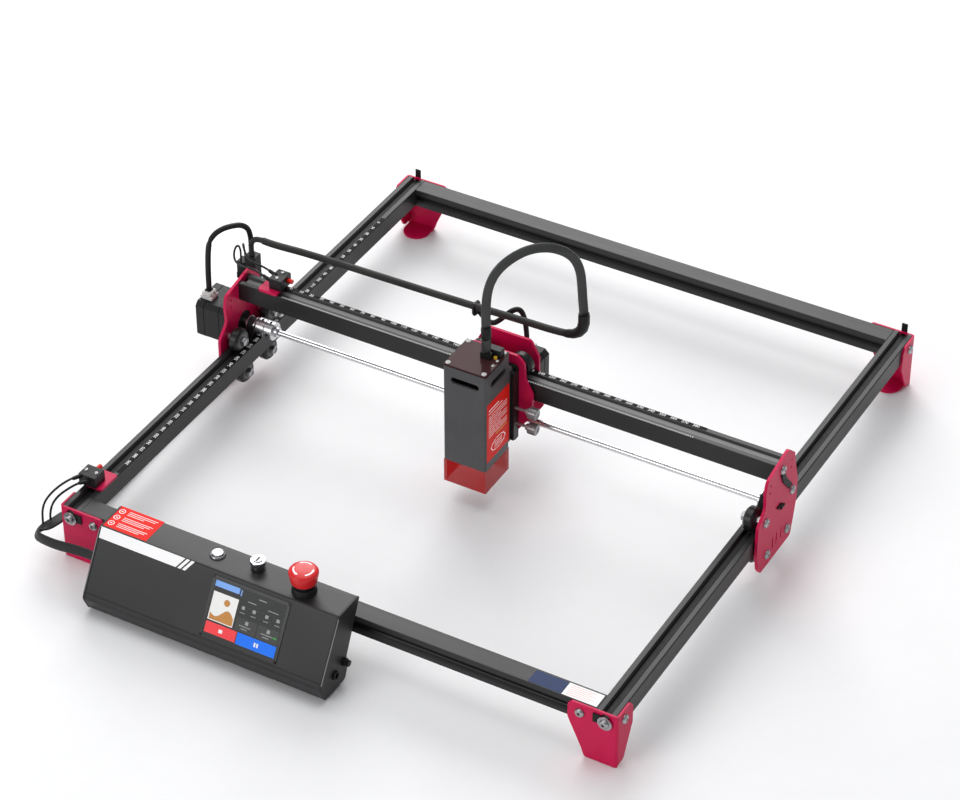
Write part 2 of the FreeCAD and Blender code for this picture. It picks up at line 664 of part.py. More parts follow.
def laser_housing():
    """Square aluminium case with cooling vents and the bar that slides in the height channel."""
    outer = block((-LASER_X, LASER_X), LASER_Y, LASER_Z)
    upright = [e for e in outer.Edges if abs(e.Length - (LASER_Z[1] - LASER_Z[0])) < 0.01]
    outer = outer.makeFillet(2.0, upright)
    inside = block((-LASER_X + LASER_WALL, LASER_X - LASER_WALL),
                   (LASER_Y[0] + LASER_WALL, LASER_Y[1] - LASER_WALL), (LASER_Z[0] - 1, LASER_Z[1] + 1))
    bar = plate("Y", [(BAR_X, 140, 3), (-BAR_X, 140, 3), (-BAR_X, 53, 3), (BAR_X, 53, 3)], BAR_Y[0] - 0.01, BAR_Y[1])
    body = fused([outer.cut(inside), bar])
    front = plate("Y", [(-14.5, VENT_Z[0], 3.2), (15.3, VENT_Z[0], 3.2), (15.3, VENT_Z[1], 3.2), (-14.5, VENT_Z[1], 3.2)],
                  LASER_Y[0] - 1, LASER_Y[0] + 5)
    sides = plate("X", [(-62, VENT_Z[0], 3.2), (-34, VENT_Z[0], 3.2), (-34, VENT_Z[1], 3.2), (-62, VENT_Z[1], 3.2)], -30, 30)
    return body.cut(front).cut(sides)


def laser_top_plate():
    """Lid with the cable socket."""
    lid = block((-LASER_X, LASER_X), LASER_Y, (LASER_Z[1], LASER_Z[1] + 2))
    upright = [e for e in lid.Edges if abs(e.Length - 2) < 0.01]
    lid = lid.makeFillet(1.9, upright)
    socket = fused([
        block((1.5, 14.5), (-47.5, -42.5), (LASER_Z[1] + 2, LASER_Z[1] + 9)),
        block((4, 20.5), (-42.5, -32), (LASER_Z[1] + 2, LASER_Z[1] + 9)),
    ])
    return fused([lid, socket])


def laser_shield():
    """Tinted skirt round the beam, open below."""
    outer = block((-LASER_X, LASER_X), LASER_Y, (24, LASER_Z[0]))
    inner = block((-LASER_X + 2, LASER_X - 2), (LASER_Y[0] + 2, LASER_Y[1] - 2), (20, 60))
    return outer.cut(inner)


def laser_core():
    """Finned heat sink with the diode barrel and focusing lens under it."""
    y_mid = (LASER_Y[0] + LASER_Y[1]) / 2
    base = block((-20, 20), (y_mid - 19.8, y_mid + 19.8), (56, 70))
    fins = [block((x, x + 1.6), (y_mid - 19.8, y_mid + 19.8), (70, 118)) for x in (-20, -14.8, -9.6, -4.4, 0.8, 6, 11.2, 18.4)]
    barrel = fused([rod("Z", (0, y_mid), 9.0, 47, 56), rod("Z", (0, y_mid), 6.0, 42, 47)])
    return fused([base] + fins + [barrel])


def laser_fan():
    """Axial fan rotor above the heat sink."""
    y_mid = (LASER_Y[0] + LASER_Y[1]) / 2
    hub = rod("Z", (0, y_mid), 8.0, 124, 134)
    blades = []
    for step in range(7):
        blade = block((7, 18.5), (-4, 4), (128.2, 129.8))
        blade.rotate(Vector(0, 0, 129), Vector(1, 0, 0), 32)
        blade.rotate(Vector(0, 0, 0), Vector(0, 0, 1), 360 / 7 * step)
        blade.translate(Vector(0, y_mid, 0))
        blades.append(blade)
    return fused([hub] + blades)


# ---------------------------------------------------------------- cables
def cable(name, radius, points):
    """A round cable of straight runs joined by tangent arcs, through corners listed by hand."""
    route = [Vector(*p) for p in points]
    edges = []
    at = route[0]
    radii = []
    for before, corner, after in zip(route, route[1:], route[2:]):
        into = (corner - before).normalize()
        out = (after - corner).normalize()
        turn = into.getAngle(out)
        reach = 0.45 * min((corner - before).Length, (after - corner).Length)
        bend = reach / math.tan(turn / 2)
        inward = (out - into).normalize()
        middle = corner + inward * (reach / math.sin(turn / 2) - bend)
        start = corner - into * reach
        end = corner + out * reach
        edges.append(Part.LineSegment(at, start).toShape())
        edges.append(Part.Arc(start, middle, end).toShape())
        radii.append(bend)
        at = end
    edges.append(Part.LineSegment(at, route[-1]).toShape())
    path = Part.Wire(edges)
    ring = Part.Wire([Part.Circle(route[0], route[1] - route[0], radius).toShape()])
    solid = path.makePipeShell([ring], True, False)
    expected = math.pi * radius ** 2 * path.Length
    print(f"{name}: length {path.Length:.0f}, volume ratio {solid.Volume / expected:.3f}, radii",
          " ".join(f"{r:.0f}" for r in radii))
    return solid


MAIN_CABLE = [
    (-230.9, -342.8, 39.9), (-238.5, -341.3, 39.2), (-251, -340.6, 38.2), (-264, -341, 36.8), (-277, -341, 35), (-289, -340.6, 34.4),
    (-299.5, -338.6, 33.4), (-305.6, -333.4, 31.6), (-305.2, -325.5, 32.6), (-300.6, -319, 34.2), (-298, -310, 34.6),
    (-298, -297, 32), (-299, -280, 26.5), (-301, -255, 18), (-303, -215, 9.5), (-305.4, -165, 5.4), (-307, -110, 4.4),
    (-307.4, -55, 4.6), (-306.6, -10, 6.5), (-304.6, 13, 13), (-303.2, 24, 27), (-302.6, 28.6, 48), (-302.5, 30.2, 73), (-302.6, 30, 96.9),
]
SHEATH = [
    (-297.1, 28.5, 127.7), (-298.3, 28.7, 134), (-298.4, 29.3, 141), (-295, 29.9, 146.2), (-288, 30.2, 148), (-277, 30, 147.6),
    (-264, 30, 148), (-243, 30, 149.6), (-208, 29.8, 151), (-160, 29.4, 152.2), (-100, 28.7, 153.8), (-45, 28, 155.6),
    (0, 27.8, 157.6), (31, 27.4, 158.4), (50, 26.9, 160), (61, 26.2, 162.8), (68, 25.4, 167.4), (72.2, 24.4, 174), (73.6, 23.4, 182), (73.6, 22.6, 189),
]
LOOP = [
    (73.6, 22.6, 189.1), (73.5, 22, 197), (72.9, 20.8, 209), (72.2, 19.8, 226), (71, 18.6, 243), (67, 15, 257.5), (59.5, 7.3, 268.2),
    (49, -3.4, 275.4), (36.5, -16, 276.6), (24.6, -28, 270), (15, -37.6, 258.8), (9.9, -43, 244.5), (8, -45, 228), (7.7, -45.3, 211),
    (7.9, -45.1, 196), (8, -45, 182), (8, -45.1, 169.1),
]
Y_MOTOR_CABLE = [
    (-324.4, -9.6, 100.8), (-324.6, -9.2, 112), (-325.4, -7.6, 126), (-326, -5.5, 139.6), (-325.4, -3.6, 152), (-322.4, 0.8, 159.8),
    (-317.4, 7.8, 164), (-311.4, 16.4, 164.6), (-306, 25, 162.6), (-302.6, 31.4, 156), (-301.4, 33.4, 146), (-301.2, 33.6, 136), (-301.4, 33.4, 127.1),
]
X_MOTOR_CABLE = [
    (-44, 32.5, 148.5), (-36, 31.4, 141.5), (-27, 31.2, 139.5), (-19, 33.8, 147.5), (-11.4, 37.4, 156.6), (-4.4, 40.6, 159.6),
    (-0.4, 42.6, 152), (1.1, 44, 138), (1.7, 44.8, 127), (1.8, 45, 117.2),
]
X_SWITCH_WIRES = [
    [(-255.8, 6.5, 131.1), (-262, 6.8, 133.6), (-270, 7.6, 135.4), (-280, 9.8, 134.4), (-291, 14.6, 131.6), (-301, 22.6, 130.8),
     (-307, 28, 134.6), (-309.4, 31.4, 136), (-309.6, 33, 130), (-309, 33.2, 123.5), (-308.6, 33, 117.1)],
    [(-255.9, -3.5, 131.2), (-262, -4.2, 134.6), (-271, -3, 136.6), (-281, 0.2, 134.8), (-291, 4.4, 130.4), (-301, 9.6, 126.2),
     (-309, 14.8, 125.6), (-312.6, 19, 130), (-312.4, 22.8, 136), (-310.8, 26, 136), (-310.2, 27.6, 129.5), (-310.4, 28, 123), (-310.6, 28, 117.1)],
]
Y_SWITCH_WIRES = [
    [(-288.6, -283.5, 71.2), (-289.6, -288.6, 73.4), (-291.8, -296, 74.6), (-296, -305.6, 72.6), (-300.4, -314, 67.6), (-304, -319.6, 60.4),
     (-305.8, -322, 51), (-305.9, -322.6, 43), (-305.4, -323.6, 36)],
    [(-279.3, -283.7, 68.4), (-280.8, -287.4, 70.4), (-285, -293, 70.6), (-291, -300.4, 67), (-296.4, -308, 62.4), (-300, -313.4, 55.6),
     (-301.6, -315.6, 47), (-301.8, -316.4, 41.5), (-301.4, -317, 37.5)],
]
CORDS = {
    "main_cable": [cable("main_cable", 3.5, MAIN_CABLE)],
    "laser_cable": [cable("laser_cable sheath", 3.0, SHEATH), cable("laser_cable loop", 2.6, LOOP)],
    "y_motor_cable": [cable("y_motor_cable", 2.2, Y_MOTOR_CABLE)],
    "x_motor_cable": [cable("x_motor_cable", 2.2, X_MOTOR_CABLE)],
    "x_switch_wires": [cable("x_switch_wire", 0.9, wire) for wire in X_SWITCH_WIRES],
    "y_switch_wires": [cable("y_switch_wire", 0.9, wire) for wire in Y_SWITCH_WIRES],
}

# ---------------------------------------------------------------- all nodes
NODES = {
    "left_rail": mirror_x(side_rail()),
    "right_rail": side_rail(),
    "cross_profiles": cross_profiles(),
    "corner_brackets": four_corners([corner_bracket()]),
    "frame_bolts": four_corners(corner_bolts()),
    "y_belts": group([side_belt(), mirror_x(side_belt())]),
    "box_shell": box_shell(),
    "box_end_caps": box_end_caps(),
    "box_brackets": box_brackets(),
    "touch_screen": touch_screen(),
    "control_board": control_board(),
    "switch_bezels": switch_bezels(),
    "side_sockets": side_sockets(),
    "power_button": power_button(),
    "key_cylinder": key_cylinder(),
    "estop_stem": estop_stem(),
    "estop_head": estop_head(),
    "y_switch_plate": y_switch_plate(),
    "y_switch_body": y_switch_body(),
    "y_switch_button": y_switch_button(),
    "left_gantry_plate": gantry_plate("left"),
    "right_gantry_plate": gantry_plate("right"),
    "gantry_bolts": gantry_bolts(),
    "x_beam": x_beam(),
    "x_belt": x_belt(),
    "y_motor": y_motor(),
    "drive_shaft": drive_shaft(),
    "shaft_coupling": shaft_coupling(),
    "y_pulleys": y_pulleys(),
    "cable_stand": cable_stand(),
    "x_switch_plate": x_switch_plate(),
    "x_switch_body": x_switch_body(),
    "x_switch_button": x_switch_button(),
    "carriage_front_plate": carriage_front_plate(),
    "carriage_rear_plate": carriage_rear_plate(),
    "carriage_bolts": carriage_bolts(),
    "x_motor": x_motor(),
    "x_pulley": x_pulley(),
    "height_slide": height_slide(),
    "laser_housing": laser_housing(),
    "laser_top_plate": laser_top_plate(),
    "laser_shield": laser_shield(),
    "laser_core": laser_core(),
    "laser_fan": laser_fan(),
}
for wheel_name, (wheel_y, wheel_z) in WHEELS.items():
    NODES[wheel_name] = wheel_pair(wheel_y, wheel_z)
for roller_name, (roller_x, roller_z) in ROLLERS.items():
    NODES[roller_name] = roller(roller_x, roller_z)
for screw_name, screw_z in THUMB_Z.items():
    NODES[screw_name] = thumbscrew(screw_z)

limits = Part.makeCompound(list(NODES.values())).optimalBoundingBox(False)
shift = Vector(-(limits.XMin + limits.XMax) / 2, -(limits.YMin + limits.YMax) / 2, -limits.ZMin)
print("shift to the origin", round(shift.x, 3), round(shift.y, 3), round(shift.z, 3))
print("size", round(limits.XLength, 1), round(limits.YLength, 1), round(limits.ZLength, 1))

for cord_name, solids in CORDS.items():
    NODES[cord_name] = group(solids)

os.makedirs("parts", exist_ok=True)
for node_name, shape in NODES.items():
    moved = shape.copy()
    moved.translate(shift)
    if not moved.isValid() or any(s.Volume <= 0 for s in moved.Solids) or not moved.Solids:
        print("CHECK", node_name, "valid", moved.isValid(), "solids", len(moved.Solids))
    moved.exportStep(f"parts/{node_name}.step")
print(len(NODES), "nodes written")
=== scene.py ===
# %% [markdown]
# # A desktop laser cutter
# The machine is an open frame of black aluminium profile on crimson sheet-metal corners. A gantry
# rolls along it, a carriage rolls along the gantry's beam, and a laser module hangs on the carriage.
# The imported CAD model is the frame that everything here is built round, so it is loaded first.

# %% Load the imported machine
import bpy
import bmesh
import math
from mathutils import Matrix, Vector


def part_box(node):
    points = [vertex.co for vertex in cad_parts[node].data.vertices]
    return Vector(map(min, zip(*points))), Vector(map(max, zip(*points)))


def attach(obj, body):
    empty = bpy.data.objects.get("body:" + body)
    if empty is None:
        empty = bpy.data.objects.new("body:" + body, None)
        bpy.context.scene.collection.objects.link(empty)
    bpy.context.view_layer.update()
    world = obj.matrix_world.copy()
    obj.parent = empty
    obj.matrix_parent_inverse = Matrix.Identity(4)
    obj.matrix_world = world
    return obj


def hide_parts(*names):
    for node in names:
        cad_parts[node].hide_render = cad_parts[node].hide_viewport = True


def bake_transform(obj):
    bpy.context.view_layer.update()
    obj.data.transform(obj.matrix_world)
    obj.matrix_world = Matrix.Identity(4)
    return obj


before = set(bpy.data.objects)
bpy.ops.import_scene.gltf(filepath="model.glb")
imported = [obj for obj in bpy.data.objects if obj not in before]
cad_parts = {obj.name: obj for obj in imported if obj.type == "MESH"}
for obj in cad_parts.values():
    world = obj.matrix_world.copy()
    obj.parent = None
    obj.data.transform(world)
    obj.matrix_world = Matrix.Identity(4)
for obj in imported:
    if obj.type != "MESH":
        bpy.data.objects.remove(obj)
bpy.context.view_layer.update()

# %% [markdown]
# Sizes are easiest to read in millimetres about the middle of the frame at floor level, which is how
# such a machine is drawn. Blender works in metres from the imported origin, so one matrix turns the
# first into the second, and every finished piece goes through it.

# %% Millimetres about the middle of the frame
low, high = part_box("cross_profiles")
MIDDLE = Vector(((low.x + high.x) / 2, (low.y + high.y) / 2, 0))
TO_ROW = Matrix.Translation(MIDDLE) @ Matrix.Scale(0.001, 4)


def at(x, y, z):
    """A place in millimetres about the frame's middle, as a point in metres."""
    return TO_ROW @ Vector((x, y, z))


def show(name, data):
    """A new object in the scene."""
    made = bpy.data.objects.new(name, data)
    bpy.context.collection.objects.link(made)
    return made


print("frame middle at", [round(v, 4) for v in MIDDLE])

# %% [markdown]
# The camera stands to the right, in front and well above, with a long lens, which keeps the frame's
# sides almost parallel. The floor is plain and pale. Light comes from a big soft panel overhead and
# another behind the machine, whose shine lies on the tops of the profiles and leaves their sides
# dark. A weak one at the front left lifts the faces of the corner brackets.

# %% Camera
AZIMUTH, ELEVATION = math.radians(29.533), math.radians(37.585)
AIM, DISTANCE, LENS = (-69.28, 79.82, 0), 3.21035, 121.70
level = math.cos(ELEVATION)
back = Vector((math.sin(AZIMUTH) * level, -math.cos(AZIMUTH) * level, math.sin(ELEVATION)))
right = Vector((math.cos(AZIMUTH), math.sin(AZIMUTH), 0))
camera = show("camera", bpy.data.cameras.new("camera"))
camera.data.sensor_width = 36
camera.data.lens = LENS
camera.data.clip_end = 50
camera.matrix_world = Matrix.Translation(at(*AIM) + back * DISTANCE) @ Matrix(
    (right, back.cross(right), back)).transposed().to_4x4()
bpy.context.scene.camera = camera

# %% Floor and light
floor_mesh = bpy.data.meshes.new("floor")
FLOOR_REACH, FLOOR_LEVEL = 9, -0.0004
corners = [(x * FLOOR_REACH, y * FLOOR_REACH, FLOOR_LEVEL) for x, y in ((-1, -1), (1, -1), (1, 1), (-1, 1))]
floor_mesh.from_pydata(corners, [], [(0, 1, 2, 3)])
floor = show("floor", floor_mesh)


def panel(name, place, size, power):
    """A square soft light that points at the middle of the machine."""
    light = bpy.data.lights.new(name, "AREA")
    light.size = size
    light.energy = power
    lamp = show(name, light)
    lamp.location = place
    lamp.rotation_euler = (Vector(place) - Vector((0, 0, 0.05))).to_track_quat("Z", "Y").to_euler()


panel("top_panel", (-0.3, 0.2, 3.0), 2.6, 40)
panel("back_panel", (-1.33, 2.35, 2.07), 2.2, 76)
panel("front_panel", (-1.3, -3.0, 1.5), 1.6, 30)
world = bpy.data.worlds.new("studio")
world.use_nodes = True
world.node_tree.nodes["Background"].inputs["Color"].default_value = (0.96, 0.97, 1.0, 1)
world.node_tree.nodes["Background"].inputs["Strength"].default_value = 0.34
bpy.context.scene.world = world
bpy.context.scene.view_settings.view_transform = "Standard"

# %% [markdown]
# Almost every surface here is one of four kinds: powder coat, anodised aluminium, turned steel or
# moulded plastic. All are a base colour broken up by two noises, a coarse one that drifts the tone
# and a fine one that drives roughness and bump. Stretching the fine noise along the metal's length
# turns it into the lines that extrusion leaves, so a single helper makes them all.

# %% Surface finishes
FINISHES = {}


def fill(node, values):
    """Sets a node's inputs, each by its name or number."""
    for key, value in values.items():
        node.inputs[key].default_value = value


def wire(tree, start, output, end, entry):
    """Joins an output of one node to an input of another."""
    tree.links.new(start.outputs[output], end.inputs[entry])


def finish(name, tone, drift, rough, metal=0.0, grain=(900, 900, 900), bump=0.15, coat=0.0, alpha=1.0,
           glow=0.0, shine=0.25):
    """A material: tone drifts to drift, rough is (low, high), grain the fine noise's scale on each axis."""
    made = bpy.data.materials.new(name)
    made.use_nodes = True
    tree = made.node_tree
    shader = tree.nodes["Principled BSDF"]
    place, stretch, fine, coarse, both, ramp, spread = [tree.nodes.new("ShaderNode" + kind) for kind in (
        "TexCoord", "Mapping", "TexNoise", "TexNoise", "Math", "ValToRGB", "MapRange")]
    fill(stretch, {"Scale": grain})
    fill(fine, {"Scale": 1.0, "Detail": 5.0})
    fill(coarse, {"Scale": 14.0, "Detail": 3.0})
    wire(tree, place, "Object", stretch, "Vector")
    wire(tree, stretch, "Vector", fine, "Vector")
    wire(tree, place, "Object", coarse, "Vector")
    both.operation = "MULTIPLY_ADD"
    wire(tree, fine, "Fac", both, 0)
    fill(both, {1: 0.6})
    wire(tree, coarse, "Fac", both, 2)
    for end, share, colour in zip(ramp.color_ramp.elements, (0.55, 1.05), (tone, drift)):
        end.position = share
        end.color = (*colour, 1)
    wire(tree, both, "Value", ramp, "Fac")
    wire(tree, ramp, "Color", shader, "Base Color")
    fill(spread, {"From Min": 0.3, "From Max": 0.7, "To Min": rough[0], "To Max": rough[1]})
    wire(tree, fine, "Fac", spread, "Value")
    wire(tree, spread, "Result", shader, "Roughness")
    if bump:
        height = tree.nodes.new("ShaderNodeBump")
        fill(height, {"Strength": bump, "Distance": 0.0002})
        wire(tree, fine, "Fac", height, "Height")
        wire(tree, height, "Normal", shader, "Normal")
    fill(shader, {"Metallic": metal, "Specular IOR Level": shine})
    if coat:
        fill(shader, {"Coat Weight": coat, "Coat Roughness": 0.12})
    if alpha < 1:
        fill(shader, {"Alpha": alpha})
    # Glow makes a surface give off its own colour. On the screens it is the display's own light; on the white
    # and red print it is painted light, a brightness that stands in for light falling on the print.
    if glow:
        fill(shader, {"Emission Strength": glow})
        wire(tree, ramp, "Color", shader, "Emission Color")
    FINISHES[name] = made
    return made


# %% The machine's palette
finish("floor_paper", (0.93, 0.93, 0.935), (0.95, 0.95, 0.955), (0.75, 0.9), grain=(60, 60, 60), bump=0.0)
floor_mesh.materials.append(FINISHES["floor_paper"])
finish("crimson_coat", (0.68, 0.005, 0.085), (0.59, 0.004, 0.068), (0.36, 0.48), bump=0.08, shine=0.22)
finish("anodised_y", (0.010, 0.010, 0.011), (0.019, 0.019, 0.020), (0.34, 0.46), grain=(1500, 12, 1500),
       bump=0.10, shine=0.34)
finish("anodised_x", (0.010, 0.010, 0.011), (0.019, 0.019, 0.020), (0.34, 0.46), grain=(12, 1500, 1500),
       bump=0.10, shine=0.34)
finish("scale_black", (0.004, 0.004, 0.004), (0.007, 0.007, 0.007), (0.50, 0.65), bump=0.04, shine=0.1)
# Light grey for a strip in the beam's slot: a painted highlight for the light caught by the slot's floor and
# V faces.
finish("slot_painted_highlight", (0.13, 0.13, 0.13), (0.19, 0.19, 0.19), (0.36, 0.50), grain=(12, 1500, 1500), bump=0.08)
finish("bolt_steel", (0.36, 0.36, 0.37), (0.46, 0.46, 0.47), (0.26, 0.40), metal=1.0, bump=0.05)
finish("bearing_steel", (0.10, 0.10, 0.10), (0.15, 0.15, 0.15), (0.26, 0.40), metal=0.8, bump=0.05)
finish("ground_steel", (0.62, 0.62, 0.63), (0.72, 0.72, 0.73), (0.20, 0.34), metal=1.0, grain=(1600, 60, 60),
       bump=0.05)
finish("turned_alloy", (0.52, 0.52, 0.54), (0.62, 0.62, 0.64), (0.24, 0.38), metal=1.0, grain=(2400, 40, 40),
       bump=0.08)
finish("knurl_alloy", (0.26, 0.26, 0.27), (0.34, 0.34, 0.35), (0.30, 0.44), metal=0.9, bump=0.05)
finish("bright_chrome", (0.42, 0.42, 0.44), (0.52, 0.52, 0.54), (0.20, 0.30), metal=1.0, bump=0.02)
finish("box_paint", (0.013, 0.013, 0.014), (0.019, 0.019, 0.020), (0.36, 0.48), grain=(1400, 1400, 1400),
       bump=0.12, shine=0.38)
finish("cap_paint", (0.020, 0.020, 0.021), (0.028, 0.028, 0.029), (0.38, 0.50), grain=(1400, 1400, 1400),
       bump=0.12)
# Light grey for thin strips along the end caps' front edges: a painted highlight where those edges catch the
# light.
finish("edge_painted_highlight", (0.20, 0.20, 0.20), (0.28, 0.28, 0.28), (0.38, 0.50), grain=(1400, 1400, 1400),
       bump=0.06)
finish("case_alloy", (0.085, 0.085, 0.088), (0.105, 0.105, 0.108), (0.34, 0.46), metal=0.15,
       grain=(1300, 1300, 18), bump=0.05, shine=0.15)
finish("slide_alloy", (0.008, 0.008, 0.009), (0.014, 0.014, 0.015), (0.34, 0.48), grain=(1300, 1300, 20),
       bump=0.06)
finish("lid_gloss", (0.050, 0.018, 0.020), (0.060, 0.024, 0.026), (0.08, 0.14), bump=0.01, shine=0.06)
finish("motor_paint", (0.010, 0.010, 0.011), (0.016, 0.016, 0.017), (0.38, 0.54), bump=0.14)
finish("moulded_black", (0.008, 0.008, 0.009), (0.014, 0.014, 0.015), (0.38, 0.56), bump=0.12)
finish("wheel_black", (0.008, 0.008, 0.009), (0.014, 0.014, 0.015), (0.26, 0.40), bump=0.06, shine=0.4)
finish("belt_black", (0.008, 0.008, 0.008), (0.015, 0.015, 0.015), (0.50, 0.70), grain=(700, 700, 700),
       bump=0.25)
finish("cable_black", (0.010, 0.010, 0.011), (0.018, 0.018, 0.019), (0.42, 0.58), grain=(500, 500, 500),
       bump=0.12)
finish("ribbon_grey", (0.036, 0.037, 0.036), (0.052, 0.053, 0.052), (0.32, 0.44), grain=(900, 900, 60),
       bump=0.06, shine=0.45)
finish("sleeve_grey", (0.024, 0.024, 0.023), (0.040, 0.040, 0.037), (0.48, 0.66), grain=(60, 900, 900),
       bump=0.30)
finish("stop_red", (0.74, 0.018, 0.022), (0.66, 0.014, 0.018), (0.26, 0.36), bump=0.04, shine=0.4)
finish("button_red", (0.78, 0.02, 0.01), (0.70, 0.015, 0.01), (0.25, 0.35), bump=0.04)
# White print with a painted glow: its emission lifts it as if more light fell on it, most of all on the box's
# sloping front.
finish("print_white_painted_glow", (0.84, 0.84, 0.84), (0.92, 0.92, 0.92), (0.40, 0.55), bump=0.04, shine=0.1, glow=0.22)
# Red print, also with a weaker painted glow that brightens it beyond the light falling on it.
finish("print_red_painted_glow", (0.80, 0.012, 0.005), (0.74, 0.010, 0.005), (0.36, 0.48), bump=0.04, shine=0.1, glow=0.08)
finish("print_pink", (0.88, 0.55, 0.52), (0.84, 0.48, 0.46), (0.38, 0.50), bump=0.04, shine=0.1)
finish("print_navy", (0.010, 0.028, 0.10), (0.016, 0.038, 0.13), (0.34, 0.46), bump=0.04, shine=0.15)
finish("print_yellow", (0.80, 0.50, 0.03), (0.74, 0.44, 0.03), (0.38, 0.50), bump=0.04)
finish("connector_white", (0.60, 0.60, 0.58), (0.70, 0.70, 0.68), (0.36, 0.50), bump=0.06)
finish("board_green", (0.012, 0.09, 0.045), (0.018, 0.12, 0.06), (0.30, 0.45), bump=0.12)
finish("sink_alloy", (0.50, 0.50, 0.52), (0.58, 0.58, 0.60), (0.28, 0.42), metal=1.0, grain=(1500, 1500, 20),
       bump=0.10)
finish("vent_dark", (0.003, 0.003, 0.003), (0.006, 0.006, 0.006), (0.60, 0.80), bump=0.05)
finish("tinted_red", (0.56, 0.0, 0.001), (0.46, 0.0, 0.001), (0.10, 0.16), bump=0.02, alpha=0.76, shine=0.10)
finish("screen_black", (0.004, 0.004, 0.005), (0.007, 0.008, 0.008), (0.10, 0.18), bump=0.02, shine=0.3)
LIT = (
    ("slate", (0.020, 0.022, 0.021), (0.030, 0.032, 0.030), 0.2),
    ("grey", (0.040, 0.042, 0.040), (0.052, 0.054, 0.052), 0.2),
    ("sky", (0.17, 0.36, 0.80), (0.22, 0.42, 0.86), 0.15),
    ("blue", (0.002, 0.15, 0.84), (0.004, 0.18, 0.90), 0.15),
    ("red", (0.84, 0.045, 0.055), (0.90, 0.06, 0.07), 0.15),
    ("white", (0.80, 0.80, 0.78), (0.88, 0.88, 0.86), 0.15),
    ("icon", (0.26, 0.27, 0.26), (0.34, 0.35, 0.34), 0.2),
    ("green", (0.03, 0.34, 0.05), (0.04, 0.40, 0.07), 0.2),
    ("sand", (0.50, 0.20, 0.04), (0.62, 0.30, 0.08), 0.1),
)
for name, tone, drift, glow in LIT:
    finish("screen_" + name, tone, drift, (0.22, 0.32), bump=0.02, glow=glow, shine=0.2)
print(len(FINISHES), "finishes")

# %% [markdown]
# Small helpers come next. A piece is drawn with bmesh in millimetres, then turned into metres in
# place, so its object stays at the origin. `lathe` spins a list of rings, `slab` adds a box with
# softened edges, and `prism` extrudes an outline; most of the machine needs no more than those.


# %% Mesh helpers
def to_mesh(name, shape):
    """Turns a bmesh into a mesh and frees it."""
    mesh = bpy.data.meshes.new(name)
    shape.to_mesh(mesh)
    shape.free()
    return mesh


def evaluated(host):
    """The mesh of an object with its curve or modifiers worked out."""
    return bpy.data.meshes.new_from_object(host.evaluated_get(bpy.context.evaluated_depsgraph_get()))


def piece(name, shape, material, body, angle=35):
    """Makes a bmesh drawn in millimetres an object that rides on a body."""
    bmesh.ops.remove_doubles(shape, verts=shape.verts, dist=1e-5)
    bmesh.ops.recalc_face_normals(shape, faces=shape.faces)
    shape.transform(TO_ROW)
    return adopt(name, to_mesh(name, shape), material, body, angle)


def adopt(name, mesh, material, body, angle=35):
    """Gives a mesh in metres its object, finish, smooth shading and body."""
    if angle:
        mesh.polygons.foreach_set("use_smooth", [True] * len(mesh.polygons))
        mesh.set_sharp_from_angle(angle=math.radians(angle))
    if material:
        mesh.materials.clear()
        mesh.materials.append(FINISHES[material])
    made = show(name, mesh)
    if body:
        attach(made, body)
    return made


def slab(shape, x, y, z, turn=None, soft=0.0):
    """Adds a box between limits; turn places it, soft rounds its edges."""
    made = bmesh.ops.create_cube(shape, size=1)["verts"]
    size = Matrix.Diagonal((x[1] - x[0], y[1] - y[0], z[1] - z[0], 1))
    place = Matrix.Translation(((x[0] + x[1]) / 2, (y[0] + y[1]) / 2, (z[0] + z[1]) / 2))
    bmesh.ops.transform(shape, matrix=(turn or Matrix()) @ place @ size, verts=made)
    if soft:
        edges = list({edge for vert in made for edge in vert.link_edges})
        bmesh.ops.bevel(shape, geom=edges, offset=soft, segments=2, affect="EDGES", clamp_overlap=True)


def prism(shape, outline, low, high, turn=None):
    """Adds an outline of (u, v) extruded from low to high along the third axis."""
    turn = turn or Matrix()
    bottom = [shape.verts.new(turn @ Vector((u, v, low))) for u, v in outline]
    top = [shape.verts.new(turn @ Vector((u, v, high))) for u, v in outline]
    shape.faces.new(bottom[::-1])
    shape.faces.new(top)
    for i in range(len(outline)):
        j = (i + 1) % len(outline)
        shape.faces.new((bottom[i], bottom[j], top[j], top[i]))


def skin(shape, loops):
    """Joins rings of vertices one after another and closes both ends."""
    for a, b in zip(loops, loops[1:]):
        for i in range(len(a)):
            j = (i + 1) % len(a)
            shape.faces.new((a[i], a[j], b[j], b[i]))
    shape.faces.new(loops[0][::-1])
    shape.faces.new(loops[-1])


def blocks(name, material, body, *boxes):
    """A piece made of slabs, each (x, y, z) and, if its edges are rounded, by how much."""
    shape = bmesh.new()
    for x, y, z, *soft in boxes:
        slab(shape, x, y, z, soft=soft[0] if soft else 0.0)
    return piece(name, shape, material, body)


def lathe(shape, rings, turn=None, steps=32):
    """Adds a closed solid of revolution; a ring is (radius, height) or (half across flats, height, 6)."""
    turn = turn or Matrix()
    loops = []
    for ring in rings:
        loop = []
        for i in range(steps):
            angle = 2 * math.pi * i / steps
            radius = ring[0]
            if len(ring) > 2:
                sector = math.pi / ring[2]
                radius = ring[0] / math.cos((angle % (2 * sector)) - sector)
            spot = Vector((radius * math.cos(angle), radius * math.sin(angle), ring[1]))
            loop.append(shape.verts.new(turn @ spot))
        loops.append(loop)
    skin(shape, loops)


def facing(direction, place):
    """A matrix that stands +Z along a direction such as '-Y' and moves it to a place."""
    turns = {"+X": ("Y", 90), "-X": ("Y", -90), "+Y": ("X", -90), "-Y": ("X", 90), "+Z": ("X", 0),
             "-Z": ("X", 180)}
    axis, angle = turns[direction]
    return Matrix.Translation(place) @ Matrix.Rotation(math.radians(angle), 4, axis)


